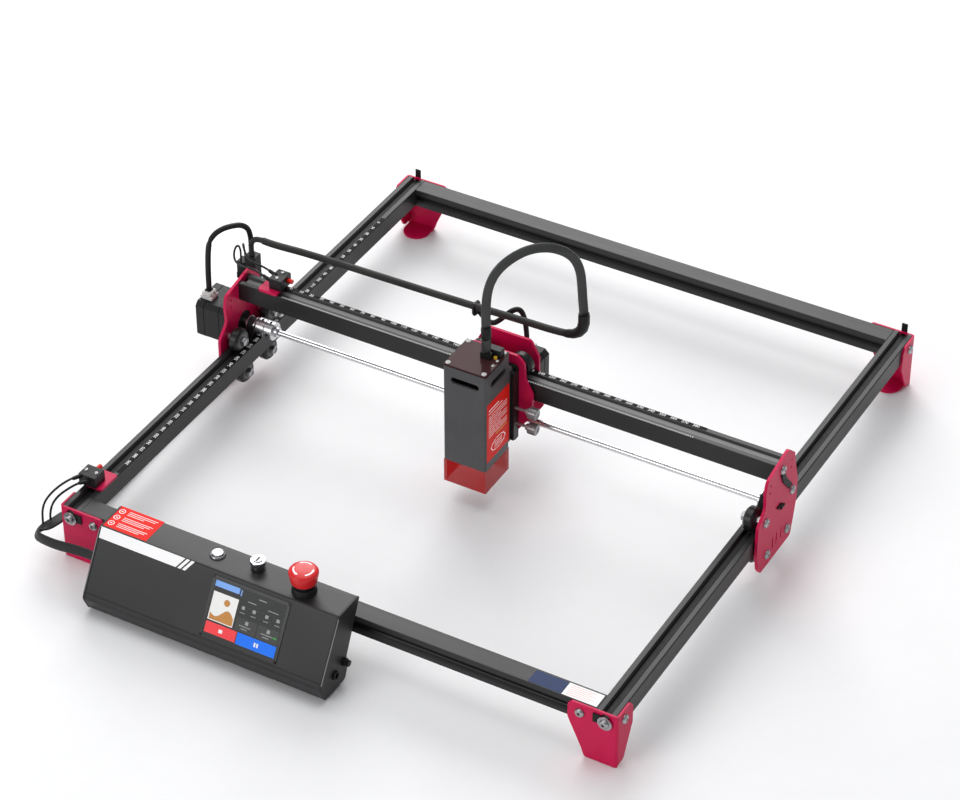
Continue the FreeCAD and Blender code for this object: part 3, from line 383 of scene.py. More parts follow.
def soften(node, material, body, width=0.35, angle=30):
    """A copy of a CAD node with its loose triangles merged and its edges rounded, shown in its place."""
    shape = bmesh.new()
    shape.from_mesh(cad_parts[node].data)
    bmesh.ops.remove_doubles(shape, verts=shape.verts, dist=2e-6)
    bmesh.ops.dissolve_limit(shape, angle_limit=math.radians(1.5), verts=shape.verts, edges=shape.edges)
    made = adopt(node + "_look", to_mesh(node + "_look", shape), None, None, angle)
    bevel = made.modifiers.new("soft_edges", "BEVEL")
    bevel.width = width / 1000
    bevel.segments = 2
    bevel.limit_method = "ANGLE"
    bevel.angle_limit = math.radians(angle)
    bevel.harden_normals = True
    rounded = evaluated(made)
    bpy.data.objects.remove(made)
    made = adopt(node + "_look", rounded, material, body, None)
    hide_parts(node)
    return made


def dress(material, *nodes):
    """Gives CAD nodes whose shape is right a finish."""
    for node in nodes:
        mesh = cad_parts[node].data
        mesh.materials.clear()
        mesh.materials.append(FINISHES[material])


print("helpers ready")

# %% [markdown]
# What repeats is made by Geometry Nodes. The first tree puts a small mesh on every point of another
# mesh, turned by the point's own `turn` value: screws, nuts, spacers. The second sets copies along
# a line of points a fixed step apart: the marks of a scale. Both end in real geometry with a material.


# %% Two trees
def new_tree(name, inputs):
    """An empty tree with a geometry input, the named inputs and a geometry output."""
    tree = bpy.data.node_groups.new(name, "GeometryNodeTree")
    tree.interface.new_socket("Geometry", in_out="INPUT", socket_type="NodeSocketGeometry")
    for label, kind in inputs:
        tree.interface.new_socket(label, in_out="INPUT", socket_type=kind)
    tree.interface.new_socket("Geometry", in_out="OUTPUT", socket_type="NodeSocketGeometry")
    return tree, tree.nodes.new("NodeGroupInput"), tree.nodes.new("NodeGroupOutput")


def end_tree(tree, copies, given, output):
    """Repeats the model, makes the copies real, sets their material and joins them to the output."""
    model_info = tree.nodes.new("GeometryNodeObjectInfo")
    wire(tree, given, "Model", model_info, "Object")
    wire(tree, model_info, "Geometry", copies, "Instance")
    real = tree.nodes.new("GeometryNodeRealizeInstances")
    paint = tree.nodes.new("GeometryNodeSetMaterial")
    wire(tree, copies, "Instances", real, "Geometry")
    wire(tree, real, "Geometry", paint, "Geometry")
    wire(tree, given, "Material", paint, "Material")
    wire(tree, paint, "Geometry", output, "Geometry")
    return tree


def scatter_tree():
    inputs = [("Model", "NodeSocketObject"), ("Material", "NodeSocketMaterial")]
    tree, given, output = new_tree("copies_on_points", inputs)
    turn = tree.nodes.new("GeometryNodeInputNamedAttribute")
    turn.data_type = "FLOAT_VECTOR"
    fill(turn, {"Name": "turn"})
    rotation = tree.nodes.new("FunctionNodeEulerToRotation")
    copies = tree.nodes.new("GeometryNodeInstanceOnPoints")
    wire(tree, turn, "Attribute", rotation, "Euler")
    wire(tree, given, "Geometry", copies, "Points")
    wire(tree, rotation, "Rotation", copies, "Rotation")
    return end_tree(tree, copies, given, output)


def row_tree():
    inputs = [("Model", "NodeSocketObject"), ("Count", "NodeSocketInt"), ("Start", "NodeSocketVector"),
              ("Step", "NodeSocketVector"), ("Material", "NodeSocketMaterial")]
    tree, given, output = new_tree("copies_in_a_row", inputs)
    line = tree.nodes.new("GeometryNodeMeshLine")
    line.mode = "OFFSET"
    copies = tree.nodes.new("GeometryNodeInstanceOnPoints")
    wire(tree, given, "Count", line, "Count")
    wire(tree, given, "Start", line, "Start Location")
    wire(tree, given, "Step", line, "Offset")
    wire(tree, line, "Mesh", copies, "Points")
    return end_tree(tree, copies, given, output)


SCATTER, ROW = scatter_tree(), row_tree()


def run_tree(name, host, tree, body, values, angle=35):
    """Runs a tree on a host object and keeps the result as a plain mesh on a body."""
    modifier = host.modifiers.new("repeat", "NODES")
    modifier.node_group = tree
    for socket in tree.interface.items_tree:
        if socket.in_out == "INPUT" and socket.name in values:
            modifier[socket.identifier] = values[socket.name]
    bpy.context.view_layer.update()
    mesh = evaluated(host)
    host.modifiers.remove(modifier)
    bpy.data.objects.remove(host)
    made = adopt(name, mesh, None, body, angle)
    print(name, len(mesh.polygons), "faces")
    return made


def model(name, shape):
    """A small mesh in millimetres, turned to metres but left at the origin, to be copied."""
    bmesh.ops.remove_doubles(shape, verts=shape.verts, dist=1e-5)
    bmesh.ops.recalc_face_normals(shape, faces=shape.faces)
    shape.transform(Matrix.Scale(0.001, 4))
    return bpy.data.objects.new(name, to_mesh(name, shape))


def scatter(name, template, places, material, body):
    """Copies of a template at (x, y, z, direction) places, as one piece."""
    points = bpy.data.meshes.new(name + "_points")
    points.from_pydata([at(*place[:3]) for place in places], [], [])
    turns = points.attributes.new("turn", "FLOAT_VECTOR", "POINT")
    for i, place in enumerate(places):
        turns.data[i].vector = facing(place[3], (0, 0, 0)).to_euler()
    host = show(name + "_host", points)
    return run_tree(name, host, SCATTER, body, {"Model": template, "Material": FINISHES[material]})


def row(name, template, start, step, count, material, body):
    """Copies of a template in a straight row, start and step in millimetres."""
    host = show(name + "_host", bpy.data.meshes.new(name + "_host"))
    values = {"Model": template, "Count": count, "Start": at(*start), "Step": Vector(step) * 0.001,
              "Material": FINISHES[material]}
    return run_tree(name, host, ROW, body, values)


# %% [markdown]
# The screws are button heads with a hexagon socket. One template is lathed with the socket's six
# flats in its inner rings, and the scatter tree puts it wherever the machine has a bolt. Nuts,
# spacers, washers and bearings are templates of the same kind.


# %% Screw, nut, spacer, washer and bearing templates
def button_head(radius, height, flats):
    shape = bmesh.new()
    lathe(shape, [(radius, 0), (radius, 0.25 * height), (0.9 * radius, 0.68 * height),
                  (0.7 * radius, 0.93 * height),
                  (0.56 * radius, height), (flats * 1.04, height, 6), (flats, 0.9 * height, 6),
                  (flats * 0.98, 0.35 * height, 6)], steps=36)
    return model(f"head_{radius}", shape)


def turned(name, rings, steps=32):
    shape = bmesh.new()
    lathe(shape, rings, steps=steps)
    return model(name, shape)


BOLT_HEAD = button_head(4.6, 2.6, 1.5)
LID_SCREW = button_head(2.5, 1.3, 0.9)
SMALL_SCREW = button_head(1.5, 0.9, 0.6)
SWITCH_SCREW = button_head(2.1, 1.1, 0.8)
NUT = turned("nut", [(3.6, 0, 6), (4.0, 0.35, 6), (4.0, 3.6, 6), (3.6, 4.0, 6), (2.9, 4.5), (2.5, 4.5),
                     (2.5, 3.9)], 36)
SPACER = turned("spacer", [(3.6, 0), (4.0, 0.4), (4.0, 5.1), (3.6, 5.5)])
WASHER = turned("washer", [(6.8, 0), (7.0, 0.2), (7.0, 1.0), (6.8, 1.2), (2.6, 1.2), (2.6, 0.9)])
BEARING = turned("bearing", [(7.9, -0.1), (7.9, 0.15), (7.2, 0.3), (6.9, 0.1), (5.4, 0.1), (5.1, 0.3),
                             (4.2, 0.3), (4.1, 0.1)])
print("templates:", BOLT_HEAD.name, NUT.name, SPACER.name, WASHER.name, BEARING.name)

# %% [markdown]
# Cords come before the machine's own details, because their routes are fixed by the model. Each is
# a NURBS curve through listed points. The sleeved cables are flat, so their tube is a mesh
# whose rings are wider than they are thick; thin wires are round tubes made the same way. The
# cables that run to a moving part are left where they are drawn, between the two bodies that they join.


# %% Cord builder
def nurbs_line(name, points):
    """The smooth line of a NURBS curve through control points in millimetres."""
    curve = bpy.data.curves.new(name + "_route", "CURVE")
    curve.dimensions = "3D"
    curve.resolution_u = 8
    spline = curve.splines.new("NURBS")
    spline.points.add(len(points) - 1)
    for spot, point in zip(spline.points, points):
        spot.co = (*at(*point), 1)
    spline.order_u = 3
    spline.use_endpoint_u = True
    host = show(name + "_route", curve)
    bpy.context.view_layer.update()
    mesh = evaluated(host)
    line = [v.co.copy() for v in mesh.vertices]
    bpy.data.meshes.remove(mesh)
    bpy.data.objects.remove(host)
    return line


def heading(line, i):
    """The direction of a line at one of its points."""
    return (line[min(i + 1, len(line) - 1)] - line[max(i - 1, 0)]).normalized()


SQUARED = 0.62


def ribbon(line, wide, thick, across, sides=16, grow=None):
    """A closed tube along a line; across gives its wide side and grow its size at each share of the way."""
    shape = bmesh.new()
    loops = []
    for i, point in enumerate(line):
        ahead = heading(line, i)
        side = across(i / (len(line) - 1))
        side = (side - ahead * side.dot(ahead)).normalized()
        over = ahead.cross(side)
        swell = grow(i / (len(line) - 1)) if grow else 1
        loop = []
        for k in range(sides):
            angle = 2 * math.pi * k / sides
            u = math.copysign(abs(math.cos(angle)) ** SQUARED, math.cos(angle)) * wide / 2 * swell
            v = math.copysign(abs(math.sin(angle)) ** SQUARED, math.sin(angle)) * thick / 2 * swell
            loop.append(shape.verts.new(point + side * u + over * v))
        loops.append(loop)
    skin(shape, loops)
    bmesh.ops.recalc_face_normals(shape, faces=shape.faces)
    return to_mesh("tube", shape)


def cord(name, points, wide, thick, across, material, body=None, ends=None, replaced=(),
         grow=None):
    """A cord from its control points: rides on body, or, when ends is given, stays where it is drawn; the
    bodies and points in ends are not used.
    """
    line = nurbs_line(name, points)
    mesh = ribbon(line, wide / 1000, thick / 1000, across, grow=grow)
    mesh.name = name
    made = adopt(name, mesh, material, body)
    if ends:
        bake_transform(made)
    if replaced:
        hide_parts(*replaced)
    return made


# %% Routes
MAIN_CABLE = [
    (-230.9, -342.8, 39.9), (-238.5, -341.3, 39.2), (-251, -340.6, 38.2), (-264, -341, 36.8),
    (-277, -341, 35), (-289, -340.6, 34.4),
    (-299.5, -338.6, 33.4), (-305.6, -333.4, 31.6), (-305.2, -325.5, 32.6), (-300.6, -319, 34.2),
    (-298, -310, 34.6),
    (-298, -297, 32), (-299, -280, 26.5), (-301, -255, 18), (-303, -215, 9.5), (-305.4, -165, 5.4),
    (-307, -110, 4.4),
    (-307.4, -55, 4.6), (-306.6, -10, 6.5), (-304.6, 13, 13), (-303.2, 24, 27), (-302.6, 28.6, 48),
    (-302.5, 30.2, 73), (-302.6, 30, 96.9),
]
SHEATH = [
    (-297.1, 28.5, 127.7), (-298.3, 28.7, 134), (-298.4, 29.3, 141), (-295, 29.9, 146.2), (-288, 30.2, 148),
    (-277, 30, 147.6),
    (-264, 30, 148), (-243, 30, 149.6), (-208, 29.8, 151), (-160, 29.4, 152.2), (-100, 28.7, 153.8),
    (-45, 28, 155.6),
    (0, 27.8, 157.6), (31, 27.4, 158.4), (50, 26.9, 160), (61, 26.2, 162.8), (68, 25.4, 167.4),
    (72.2, 24.4, 174), (73.6, 23.4, 182), (73.6, 22.6, 189),
]
LOOP = [
    (73.6, 22.6, 189.1), (73.5, 22, 197), (72.9, 20.8, 209), (72.2, 19.8, 226), (71, 18.6, 243),
    (67, 15, 257.5), (59.5, 7.3, 268.2),
    (49, -3.4, 275.4), (36.5, -16, 276.6), (24.6, -28, 270), (15, -37.6, 258.8), (9.9, -43, 244.5),
    (8, -45, 228), (7.7, -45.3, 211),
    (7.9, -45.1, 196), (8, -45, 182), (8, -45.1, 169.1),
]
Y_MOTOR_CABLE = [
    (-324.4, -9.6, 100.8), (-324.6, -9.2, 112), (-325.4, -7.6, 126), (-326, -5.5, 139.6), (-325.4, -3.6, 152),
    (-322.4, 0.8, 159.8),
    (-317.4, 7.8, 164), (-311.4, 16.4, 164.6), (-306, 25, 162.6), (-302.6, 31.4, 156), (-301.4, 33.4, 146),
    (-301.2, 33.6, 136), (-301.4, 33.4, 127.1),
]
X_MOTOR_CABLE = [
    (-44, 32.5, 148.5), (-36, 31.4, 141.5), (-27, 31.2, 139.5), (-19, 33.8, 147.5), (-11.4, 37.4, 156.6),
    (-4.4, 40.6, 159.6),
    (-0.4, 42.6, 152), (1.1, 44, 138), (1.7, 44.8, 127), (1.8, 45, 117.2),
]
X_SWITCH_WIRES = [
    [(-255.8, 6.5, 131.1), (-262, 6.8, 133.6), (-270, 7.6, 135.4), (-280, 9.8, 134.4), (-291, 14.6, 131.6),
     (-301, 22.6, 130.8),
     (-307, 28, 134.6), (-309.4, 31.4, 136), (-309.6, 33, 130), (-309, 33.2, 123.5), (-308.6, 33, 117.1)],
    [(-255.9, -3.5, 131.2), (-262, -4.2, 134.6), (-271, -3, 136.6), (-281, 0.2, 134.8), (-291, 4.4, 130.4),
     (-301, 9.6, 126.2),
     (-309, 14.8, 125.6), (-312.6, 19, 130), (-312.4, 22.8, 136), (-310.8, 26, 136), (-310.2, 27.6, 129.5),
     (-310.4, 28, 123), (-310.6, 28, 117.1)],
]
Y_SWITCH_WIRES = [
    [(-288.6, -283.5, 71.2), (-289.6, -288.6, 73.4), (-291.8, -296, 74.6), (-296, -305.6, 72.6),
     (-300.4, -314, 67.6), (-304, -319.6, 60.4),
     (-305.8, -322, 51), (-305.9, -322.6, 43), (-305.4, -323.6, 36)],
    [(-279.3, -283.7, 68.4), (-280.8, -287.4, 70.4), (-285, -293, 70.6), (-291, -300.4, 67),
     (-296.4, -308, 62.4), (-300, -313.4, 55.6),
     (-301.6, -315.6, 47), (-301.8, -316.4, 41.5), (-301.4, -317, 37.5)],
]


# %% Lay the cords
def blend_value(share, start, end):
    """0 before start, 1 after end and smooth between."""
    t = min(1, max(0, (share - start) / (end - start)))
    return t * t * (3 - 2 * t)


def upright(share):
    """Wide side stands up."""
    return Vector((0, 0, 1))


def folded(share):
    """The main cable stands on edge at the box, then lies flat on the floor and stays so as it climbs."""
    flat = blend_value(share, 0.22, 0.40)
    return Vector((flat, 0, 1 - flat))


def loop_side(share):
    """The ribbon's wide side lies in the loop's own plane, and tips back over the top."""
    tip = blend_value(share, 0.30, 0.45) * (1 - blend_value(share, 0.55, 0.72))
    plane = Vector((0.70, 0.71, 0)) * math.cos(share * math.pi) + Vector((0, 0,
        1)) * math.sin(share * math.pi)
    return plane.normalized() - Vector((0.71, -0.70, 0)) * 0.7 * tip


def any_side(share):
    return Vector((0.3, 0.2, 1))


def wrapped(share):
    """The sheathed cable is thinner until its outer wrap begins, and the wrap has a sharp end."""
    return 0.82 if share < 0.21 else 1.06


cord("main_cable_sleeve", MAIN_CABLE, 11.5, 3.2, folded, "cable_black",
     ends=("frame", "gantry", at(0, -300, 0), at(0, 10, 0)),
     replaced=("main_cable",))
cord("laser_cable_sleeve", SHEATH, 6.6, 5.0, upright, "sleeve_grey",
     ends=("gantry", "carriage", at(-285, 0, 0), at(-60, 0, 0)),
     replaced=("laser_cable",), grow=wrapped)
cord("laser_ribbon_loop", LOOP, 9.0, 3.6, loop_side, "ribbon_grey",
     ends=("carriage", "laser", at(0, 20, 0), at(0, -40, 0)))
cord("y_motor_lead", Y_MOTOR_CABLE, 5.4, 4.2, any_side, "cable_black", body="gantry",
     replaced=("y_motor_cable",))
cord("x_motor_lead", X_MOTOR_CABLE, 5.0, 4.0, any_side, "cable_black", body="carriage",
     replaced=("x_motor_cable",))
for axis, body, routes in (("x", "gantry", X_SWITCH_WIRES), ("y", "frame", Y_SWITCH_WIRES)):
    for i, route in enumerate(routes):
        cord(f"{axis}_switch_wire_{i + 1}", route, 1.9, 1.9, any_side, "cable_black", body=body,
             replaced=(axis + "_switch_wires",))

# %% [markdown]
# Shrink sleeves cover the wires where they leave the switches, and a moulded elbow stiffens the
# cable where it turns up into the ribbon. Each is a short tube along the cord that it grips.


# %% Sleeves and elbow
def sleeve(name, points, sizes, body, material="moulded_black"):
    """A tube along a short run of points, with a diameter for each point."""
    line = [at(*point) for point in points]
    shape = bmesh.new()
    loops = []
    for i, point in enumerate(line):
        ahead = heading(line, i)
        side = ahead.cross(Vector((0.31, 0.92, 0.17))).normalized()
        over = ahead.cross(side)
        radius = sizes[i] / 2000
        angles = [k * math.pi / 10 for k in range(20)]
        loops.append([shape.verts.new(point + (side * math.cos(angle) + over * math.sin(angle)) * radius)
                      for angle in angles])
    skin(shape, loops)
    shape.transform(TO_ROW.inverted())
    return piece(name, shape, material, body)


WIRE_SLEEVES = (
    ("x_wire_sleeve_1", "gantry", [(-254.8, 6.5, 131), (-256, 6.5, 131.4), (-263, 6.9, 133.8),
                                   (-264, 7, 134.1)]),
    ("x_wire_sleeve_2", "gantry", [(-254.8, -3.5, 131), (-256, -3.6, 131.5), (-263, -4, 134.7),
                                   (-264, -3.9, 135)]),
    ("y_wire_sleeve_1", "frame", [(-288.5, -282.8, 71), (-288.8, -284.2, 71.6), (-290.4, -291.4, 73.4),
                                  (-290.8, -292.8, 73.8)]),
    ("y_wire_sleeve_2", "frame", [(-279, -282.6, 68), (-279.6, -284, 69), (-284, -291.4, 70.4),
                                  (-284.8, -292.6, 70.4)]),
)
for name, body, points in WIRE_SLEEVES:
    sleeve(name, points, [3.6, 4.2, 3.6, 2.2], body)
elbow = [(52, 26.8, 160.4), (54, 26.7, 160.8), (61, 26.1, 163.2), (67.2, 25.4, 167.9), (71.4, 24.5, 174.4),
         (73.2, 23.6, 182), (73.6, 22.7, 190), (73.6, 22.5, 193)]
sleeve("cable_elbow", elbow, [7.2, 8.2, 9.0, 10.2, 11.0, 11.2, 11.2, 10.6], "carriage")
blocks("cable_clip", "moulded_black", "carriage", ((-47.5, -42.5), (24.2, 35.2), (146.0, 159.6), 1.6))
sleeve("ribbon_foot", [(8, -45.1, 184), (8, -45, 186), (7.9, -45.1, 196), (7.8, -45.2, 197.5)],
       [8.6, 9.8, 9.8, 8.8], "laser")

# %% [markdown]
# The frame itself. Profiles keep their CAD shape, because its T-slots are already exact; they only
# need black anodising whose lines run along the bar. The sheet-metal corners and plates get a copy
# with rounded edges, since a crisp highlight along a bent or cut edge is what sells sheet metal.

# %% Profiles and sheet metal
dress("anodised_y", "left_rail", "right_rail")
dress("anodised_x", "cross_profiles", "x_beam")
for node, body in (("corner_brackets", "frame"), ("left_gantry_plate", "gantry"),
                   ("right_gantry_plate", "gantry"),
                   ("carriage_front_plate", "carriage"), ("carriage_rear_plate", "carriage"),
                   ("x_switch_plate", "gantry"), ("y_switch_plate", "frame")):
    soften(node, "crimson_coat", body, 0.3)

# %% Frame screws
SIDES = (-1, 1)
heads, washers = [], []
for sx in SIDES:
    for sy in SIDES:
        out_y = "+Y" if sy > 0 else "-Y"
        heads.append((253 * sx, 315.6 * sy, 49, out_y))
        washers.append((278 * sx, 317.0 * sy, 49, out_y))
        heads.append((278 * sx, 318.2 * sy, 49, out_y))
        heads.append((290 * sx, 303.6 * sy, 49, "+X" if sx > 0 else "-X"))
frame_heads = scatter("frame_screw_heads", BOLT_HEAD, heads, "bolt_steel", "frame")
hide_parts("frame_bolts")
scatter("belt_clamp_washers", WASHER, washers, "bolt_steel", "frame")

# %% [markdown]
# Side belts lie in the rails' upper slots. A belt is a thin strap swept along its path, with a small
# slab for a tooth every two millimetres on its inner side. Where a belt climbs over the drive pulley
# it makes an omega-shaped loop, which travels with the gantry.


# %% Belts
def strap(shape, path, across, wide, thick):
    """Adds a flat band along a path of points, across being the direction of its width."""
    loops = []
    for i, point in enumerate(path):
        ahead = heading(path, i)
        over = ahead.cross(across)
        corners = ((-1, -1), (1, -1), (1, 1), (-1, 1))
        loops.append([shape.verts.new(point + across * (u * wide / 2) + over * (v * thick / 2)) for u,
                      v in corners])
    skin(shape, loops)


def belt(name, path, across, body, inner):
    """A strap with teeth on its inner side; inner is +1 or -1 along ahead x across."""
    shape = bmesh.new()
    strap(shape, path, across, BELT_WIDE, 0.8)
    for i, (a, b) in enumerate(zip(path, path[1:])):
        reach = (b - a).length
        ahead = (b - a).normalized()
        over = ahead.cross(across) * inner
        for k in range(max(1, round(reach / 2.0))):
            spot = a + ahead * (k + 0.5) * reach / max(1, round(reach / 2.0)) + over * 0.6
            turn = Matrix.Translation(spot) @ Matrix((ahead, across, over)).transposed().to_4x4()
            slab(shape, (-0.55, 0.55), (-BELT_WIDE / 2 + 0.02, BELT_WIDE / 2 - 0.02), (-0.3, 0.4), turn)
    return piece(name, shape, "belt_black", body)


BELT_WIDE = 6.0


def omega(slot_side, centre, radius, mouth, spread, along):
    """Belt path that leaves the slot, goes round a pulley and returns; along maps (u, v) to a point."""
    path = [(-spread, slot_side), (-mouth, slot_side)]
    sign = 1 if centre > slot_side else -1
    path += [(-mouth * 0.82, slot_side + sign * 1.6), (-radius - 0.6, slot_side + sign * 6)]
    for step in range(13):
        angle = math.pi * (1 - step / 12)
        path.append((radius * math.cos(angle), centre + sign * radius * math.sin(angle)))
    path += [(radius + 0.6, slot_side + sign * 6), (mouth * 0.82, slot_side + sign * 1.6), (mouth, slot_side),
             (spread, slot_side)]
    return [along(u, v) for u, v in path]


for side, label in ((-1, "left"), (1, "right")):
    x = 278 * side
    loop_path = omega(54.6, 70.5, 7.0, 11.5, 15, lambda u, v: Vector((x, -3 + u, v)))
    belt(f"{label}_belt_loop", loop_path, Vector((1, 0, 0)), "gantry", 1)
belt("beam_belt_loop", omega(104.9, 91.0, 7.0, 11.0, 14, lambda u, v: Vector((u, 0, v))), Vector((0, 1, 0)),
     "carriage", 1)
blocks("belt_keeper", "belt_black", "gantry", ((292.05, 293.6), (-8, 1.2), (69.2, 71.8), 0.5),
       ((292.05, 293.6), (-1.2, 8), (64.2, 66.8), 0.5), ((292.05, 294.2), (-1.6, 1.6), (64.8, 71.2), 0.6))
dress("belt_black", "y_belts", "x_belt")
print("belt loops made")

# %% [markdown]
# Numbered scales run along the beam and the left rail. Each mark is a copy of one little bar, and
# the numbers are font curves turned into meshes: 0, 10, 20 and so on, as on any ruler.


# %% Scales
def mark(long, wide):
    shape = bmesh.new()
    slab(shape, (-long / 2, long / 2), (-wide / 2, wide / 2), (0, 0.06))
    return model(f"mark_{long}", shape)


def numbers(name, count, place, turn, size, body):
    """A row of numbers, one for each ten, as one flat piece."""
    shape = bmesh.new()
    for i in range(count):
        text = bpy.data.curves.new("number", "FONT")
        text.body = str(i * 10)
        text.size = size
        text.align_x = "CENTER"
        text.align_y = "CENTER"
        text.resolution_u = 2
        text.extrude = 0.03
        holder = show("number", text)
        bpy.context.view_layer.update()
        mesh = evaluated(holder)
        mesh.transform(Matrix.Translation(place(i)) @ turn)
        shape.from_mesh(mesh)
        bpy.data.meshes.remove(mesh)
        bpy.data.objects.remove(holder)
    return piece(name, shape, "print_white_painted_glow", body)


FLAT = Matrix()
SIDEWAYS = Matrix.Rotation(math.radians(90), 4, "Z")
# A light strip laid in the beam's top slot: a painted highlight standing in for the light band on the slot's
# floor and V faces.
blocks("beam_slot_strip", "slot_painted_highlight", "gantry", ((-285, 288), (-3.1, 3.1), (117.9, 118.4), 0.15))
blocks("beam_scale_strip", "scale_black", "gantry", ((-240, 211), (5.3, 9.7), (120.5, 120.56)))
blocks("rail_scale_strip", "scale_black", "frame", ((-272.8, -268.3), (-250, 232), (59, 59.06)))
numbers("beam_scale_numbers", 39, lambda i: Vector((-239 + 11.55 * i, 7.5, 120.62)), FLAT, 4.6, "gantry")
row("beam_scale_marks", mark(0.6, 1.8), (-239, -8.8, 120.5), (2.31, 0, 0), 193, "print_white_painted_glow", "gantry")
numbers("rail_scale_numbers", 40, lambda i: Vector((-270.5, 223 - 11.69 * i, 59.12)), SIDEWAYS, 4.6, "frame")

# %% [markdown]
# Wheels are moulded black rims on steel ball bearings. The rims keep their exact CAD section; a
# bearing face is scattered on both sides of each, riding on the wheel so that it turns with it.

# %% Gantry wheels and their hardware
WHEELS = {"front_upper_wheels": (-31.0, 69.9), "rear_upper_wheels": (25.0, 69.9),
          "front_lower_wheels": (-24.5, 28.1), "rear_lower_wheels": (18.5, 28.1)}
ROLLERS = {"left_upper_roller": (-21.0, 131.4), "right_upper_roller": (21.0, 131.4),
           "left_lower_roller": (-21.0, 89.6), "right_lower_roller": (21.0, 89.6)}
heads, spacers, nuts = [], [], []
for node, (y, z) in WHEELS.items():
    faces = []
    for sx in SIDES:
        out = "+X" if sx > 0 else "-X"
        inward = "-X" if sx > 0 else "+X"
        faces += [(283.1 * sx, y, z, out), (272.9 * sx, y, z, inward)]
        heads.append((292 * sx, y, z, out))
        spacers.append((283.4 * sx, y, z, out))
        nuts.append((272.6 * sx, y, z, inward))
    scatter(node + "_bearings", BEARING, faces, "bearing_steel", node)
    soften(node, "wheel_black", node, 0.3)
heads += [(292 * sx, 0, 110.5, "+X" if sx > 0 else "-X") for sx in SIDES]
gantry_heads = scatter("gantry_screw_heads", BOLT_HEAD, heads, "bolt_steel", "gantry")
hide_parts("gantry_bolts")
scatter("wheel_spacers", SPACER, spacers, "turned_alloy", "gantry")
scatter("wheel_nuts", NUT, nuts, "bolt_steel", "gantry")

# %% Carriage rollers and their hardware
spacers, nuts, flush = [], [], []
for node, (x, z) in ROLLERS.items():
    scatter(node + "_bearings", BEARING, [(x, 5.1, z, "+Y"), (x, -5.1, z, "-Y")], "bearing_steel", node)
    soften(node, "wheel_black", node, 0.3)
    spacers += [(x, 5.6, z, "+Y"), (x, -5.6, z, "-Y")]
    if z > 110:
        nuts.append((x, 14.5, z, "+Y"))
roller_spacers = scatter("roller_spacers", SPACER, spacers, "turned_alloy", "carriage")
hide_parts("carriage_bolts")
scatter("roller_nuts", NUT, nuts, "bolt_steel", "carriage")

# %% [markdown]
# One motor turns both side belts: its pulley is on the left, and a ground steel shaft, clamped in a
# coupling, carries the turn to the right. The motors have laminated steel bodies between two cast
# end caps, so thin grooves are cut as separate dark bands round a slightly smaller middle.


# %% Drive line
dress("ground_steel", "drive_shaft")
soften("shaft_coupling", "turned_alloy", "drive_shaft", 0.35)
dress("turned_alloy", "y_pulleys", "x_pulley")
clamps = [(x, y, z, way) for x in (-266.6, -257.3) for y, z, way in ((-3, 79.5, "+Z"), (-12, 70.5, "-Y"))]
scatter("coupling_clamp_screws", SMALL_SCREW, clamps, "moulded_black", "drive_shaft")

# %% Pulley teeth
TOOTH_COUNT = 20


def pulley_teeth(name, turn, body):
    """Twenty round-topped teeth between the two flanges of a pulley."""
    shape = bmesh.new()
    for i in range(TOOTH_COUNT):
        spin = turn @ Matrix.Rotation(2 * math.pi * i / TOOTH_COUNT, 4, "Z")
        slab(shape, (5.6, 6.45), (-0.5, 0.5), (-3.5, 3.5), spin, soft=0.18)
    return piece(name, shape, "turned_alloy", body)


pulley_teeth("left_pulley_teeth", facing("+X", (-278, -3, 70.5)), "drive_shaft")
pulley_teeth("right_pulley_teeth", facing("+X", (278, -3, 70.5)), "drive_shaft")
pulley_teeth("x_pulley_teeth", facing("+Y", (0, 0, 91)), "x_pulley")


# %% Motors
def motor(node, turn, body):
    """A motor along +Z from its mounting face at 0: two end caps, a laminated middle and rear screws."""
    half = 21.1
    outline = []
    for su, sv in ((1, 1), (-1, 1), (-1, -1), (1, -1)):
        pair = [(su * half, sv * (half - 4.6)), (su * (half - 4.6), sv * half)]
        outline += pair if su * sv > 0 else pair[::-1]
    shape = bmesh.new()
    for near, far, grow in ((0.0, 13.0, 1.0), (13.0, 13.7, 0.965), (13.7, 30.5, 0.992), (30.5, 31.1, 0.965),
                            (31.1, 39.6, 1.0), (39.6, 40.0, 0.98)):
        prism(shape, [(u * grow, v * grow) for u, v in outline], near, far, turn)
    lathe(shape, [(11, -2), (11, 0.2)], turn, 40)
    made = piece(node + "_case", shape, "motor_paint", body, 25)
    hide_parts(node)
    shape = bmesh.new()
    for u in (-15.5, 15.5):
        for v in (-15.5, 15.5):
            lathe(shape, [(2.7, 0), (2.7, 0.9), (2.2, 1.4), (1.3, 1.4, 6), (1.2, 0.5, 6)],
                  turn @ Matrix.Translation((u, v, 40.0)), 24)
    lathe(shape, [(5.6, 0), (5.6, 0.5), (3.2, 0.5), (3.0, 0.1)], turn @ Matrix.Translation((0, 0, 40.0)), 32)
    piece(node + "_rear_screws", shape, "bolt_steel", body)


motor("y_motor", facing("-X", (-292, -3, 70.5)), "gantry")
motor("x_motor", facing("+Y", (0, 14.5, 91)), "carriage")

# %% Motor plugs
ridges = [((-318.6, -318.0), (y - 1.2, y + 1.2), (92.4, 99), 0.15) for y in (-12.4, -7.4)]
blocks("y_motor_plug", "connector_white", "gantry", ((-331, -317.5), (-16, -3.5), (91.6, 95.5), 0.5),
       ((-329.4, -319.2), (-15.6, -4.2), (95.5, 99.8), 0.7), *ridges)
blocks("y_motor_plug_boot", "moulded_black", "gantry", ((-327.6, -321.2), (-13.2, -6.4), (99.6, 101.2), 0.4))
blocks("x_motor_plug", "connector_white", "carriage", ((-6, 9.5), (38.6, 51.4), (112, 117.3), 0.6))

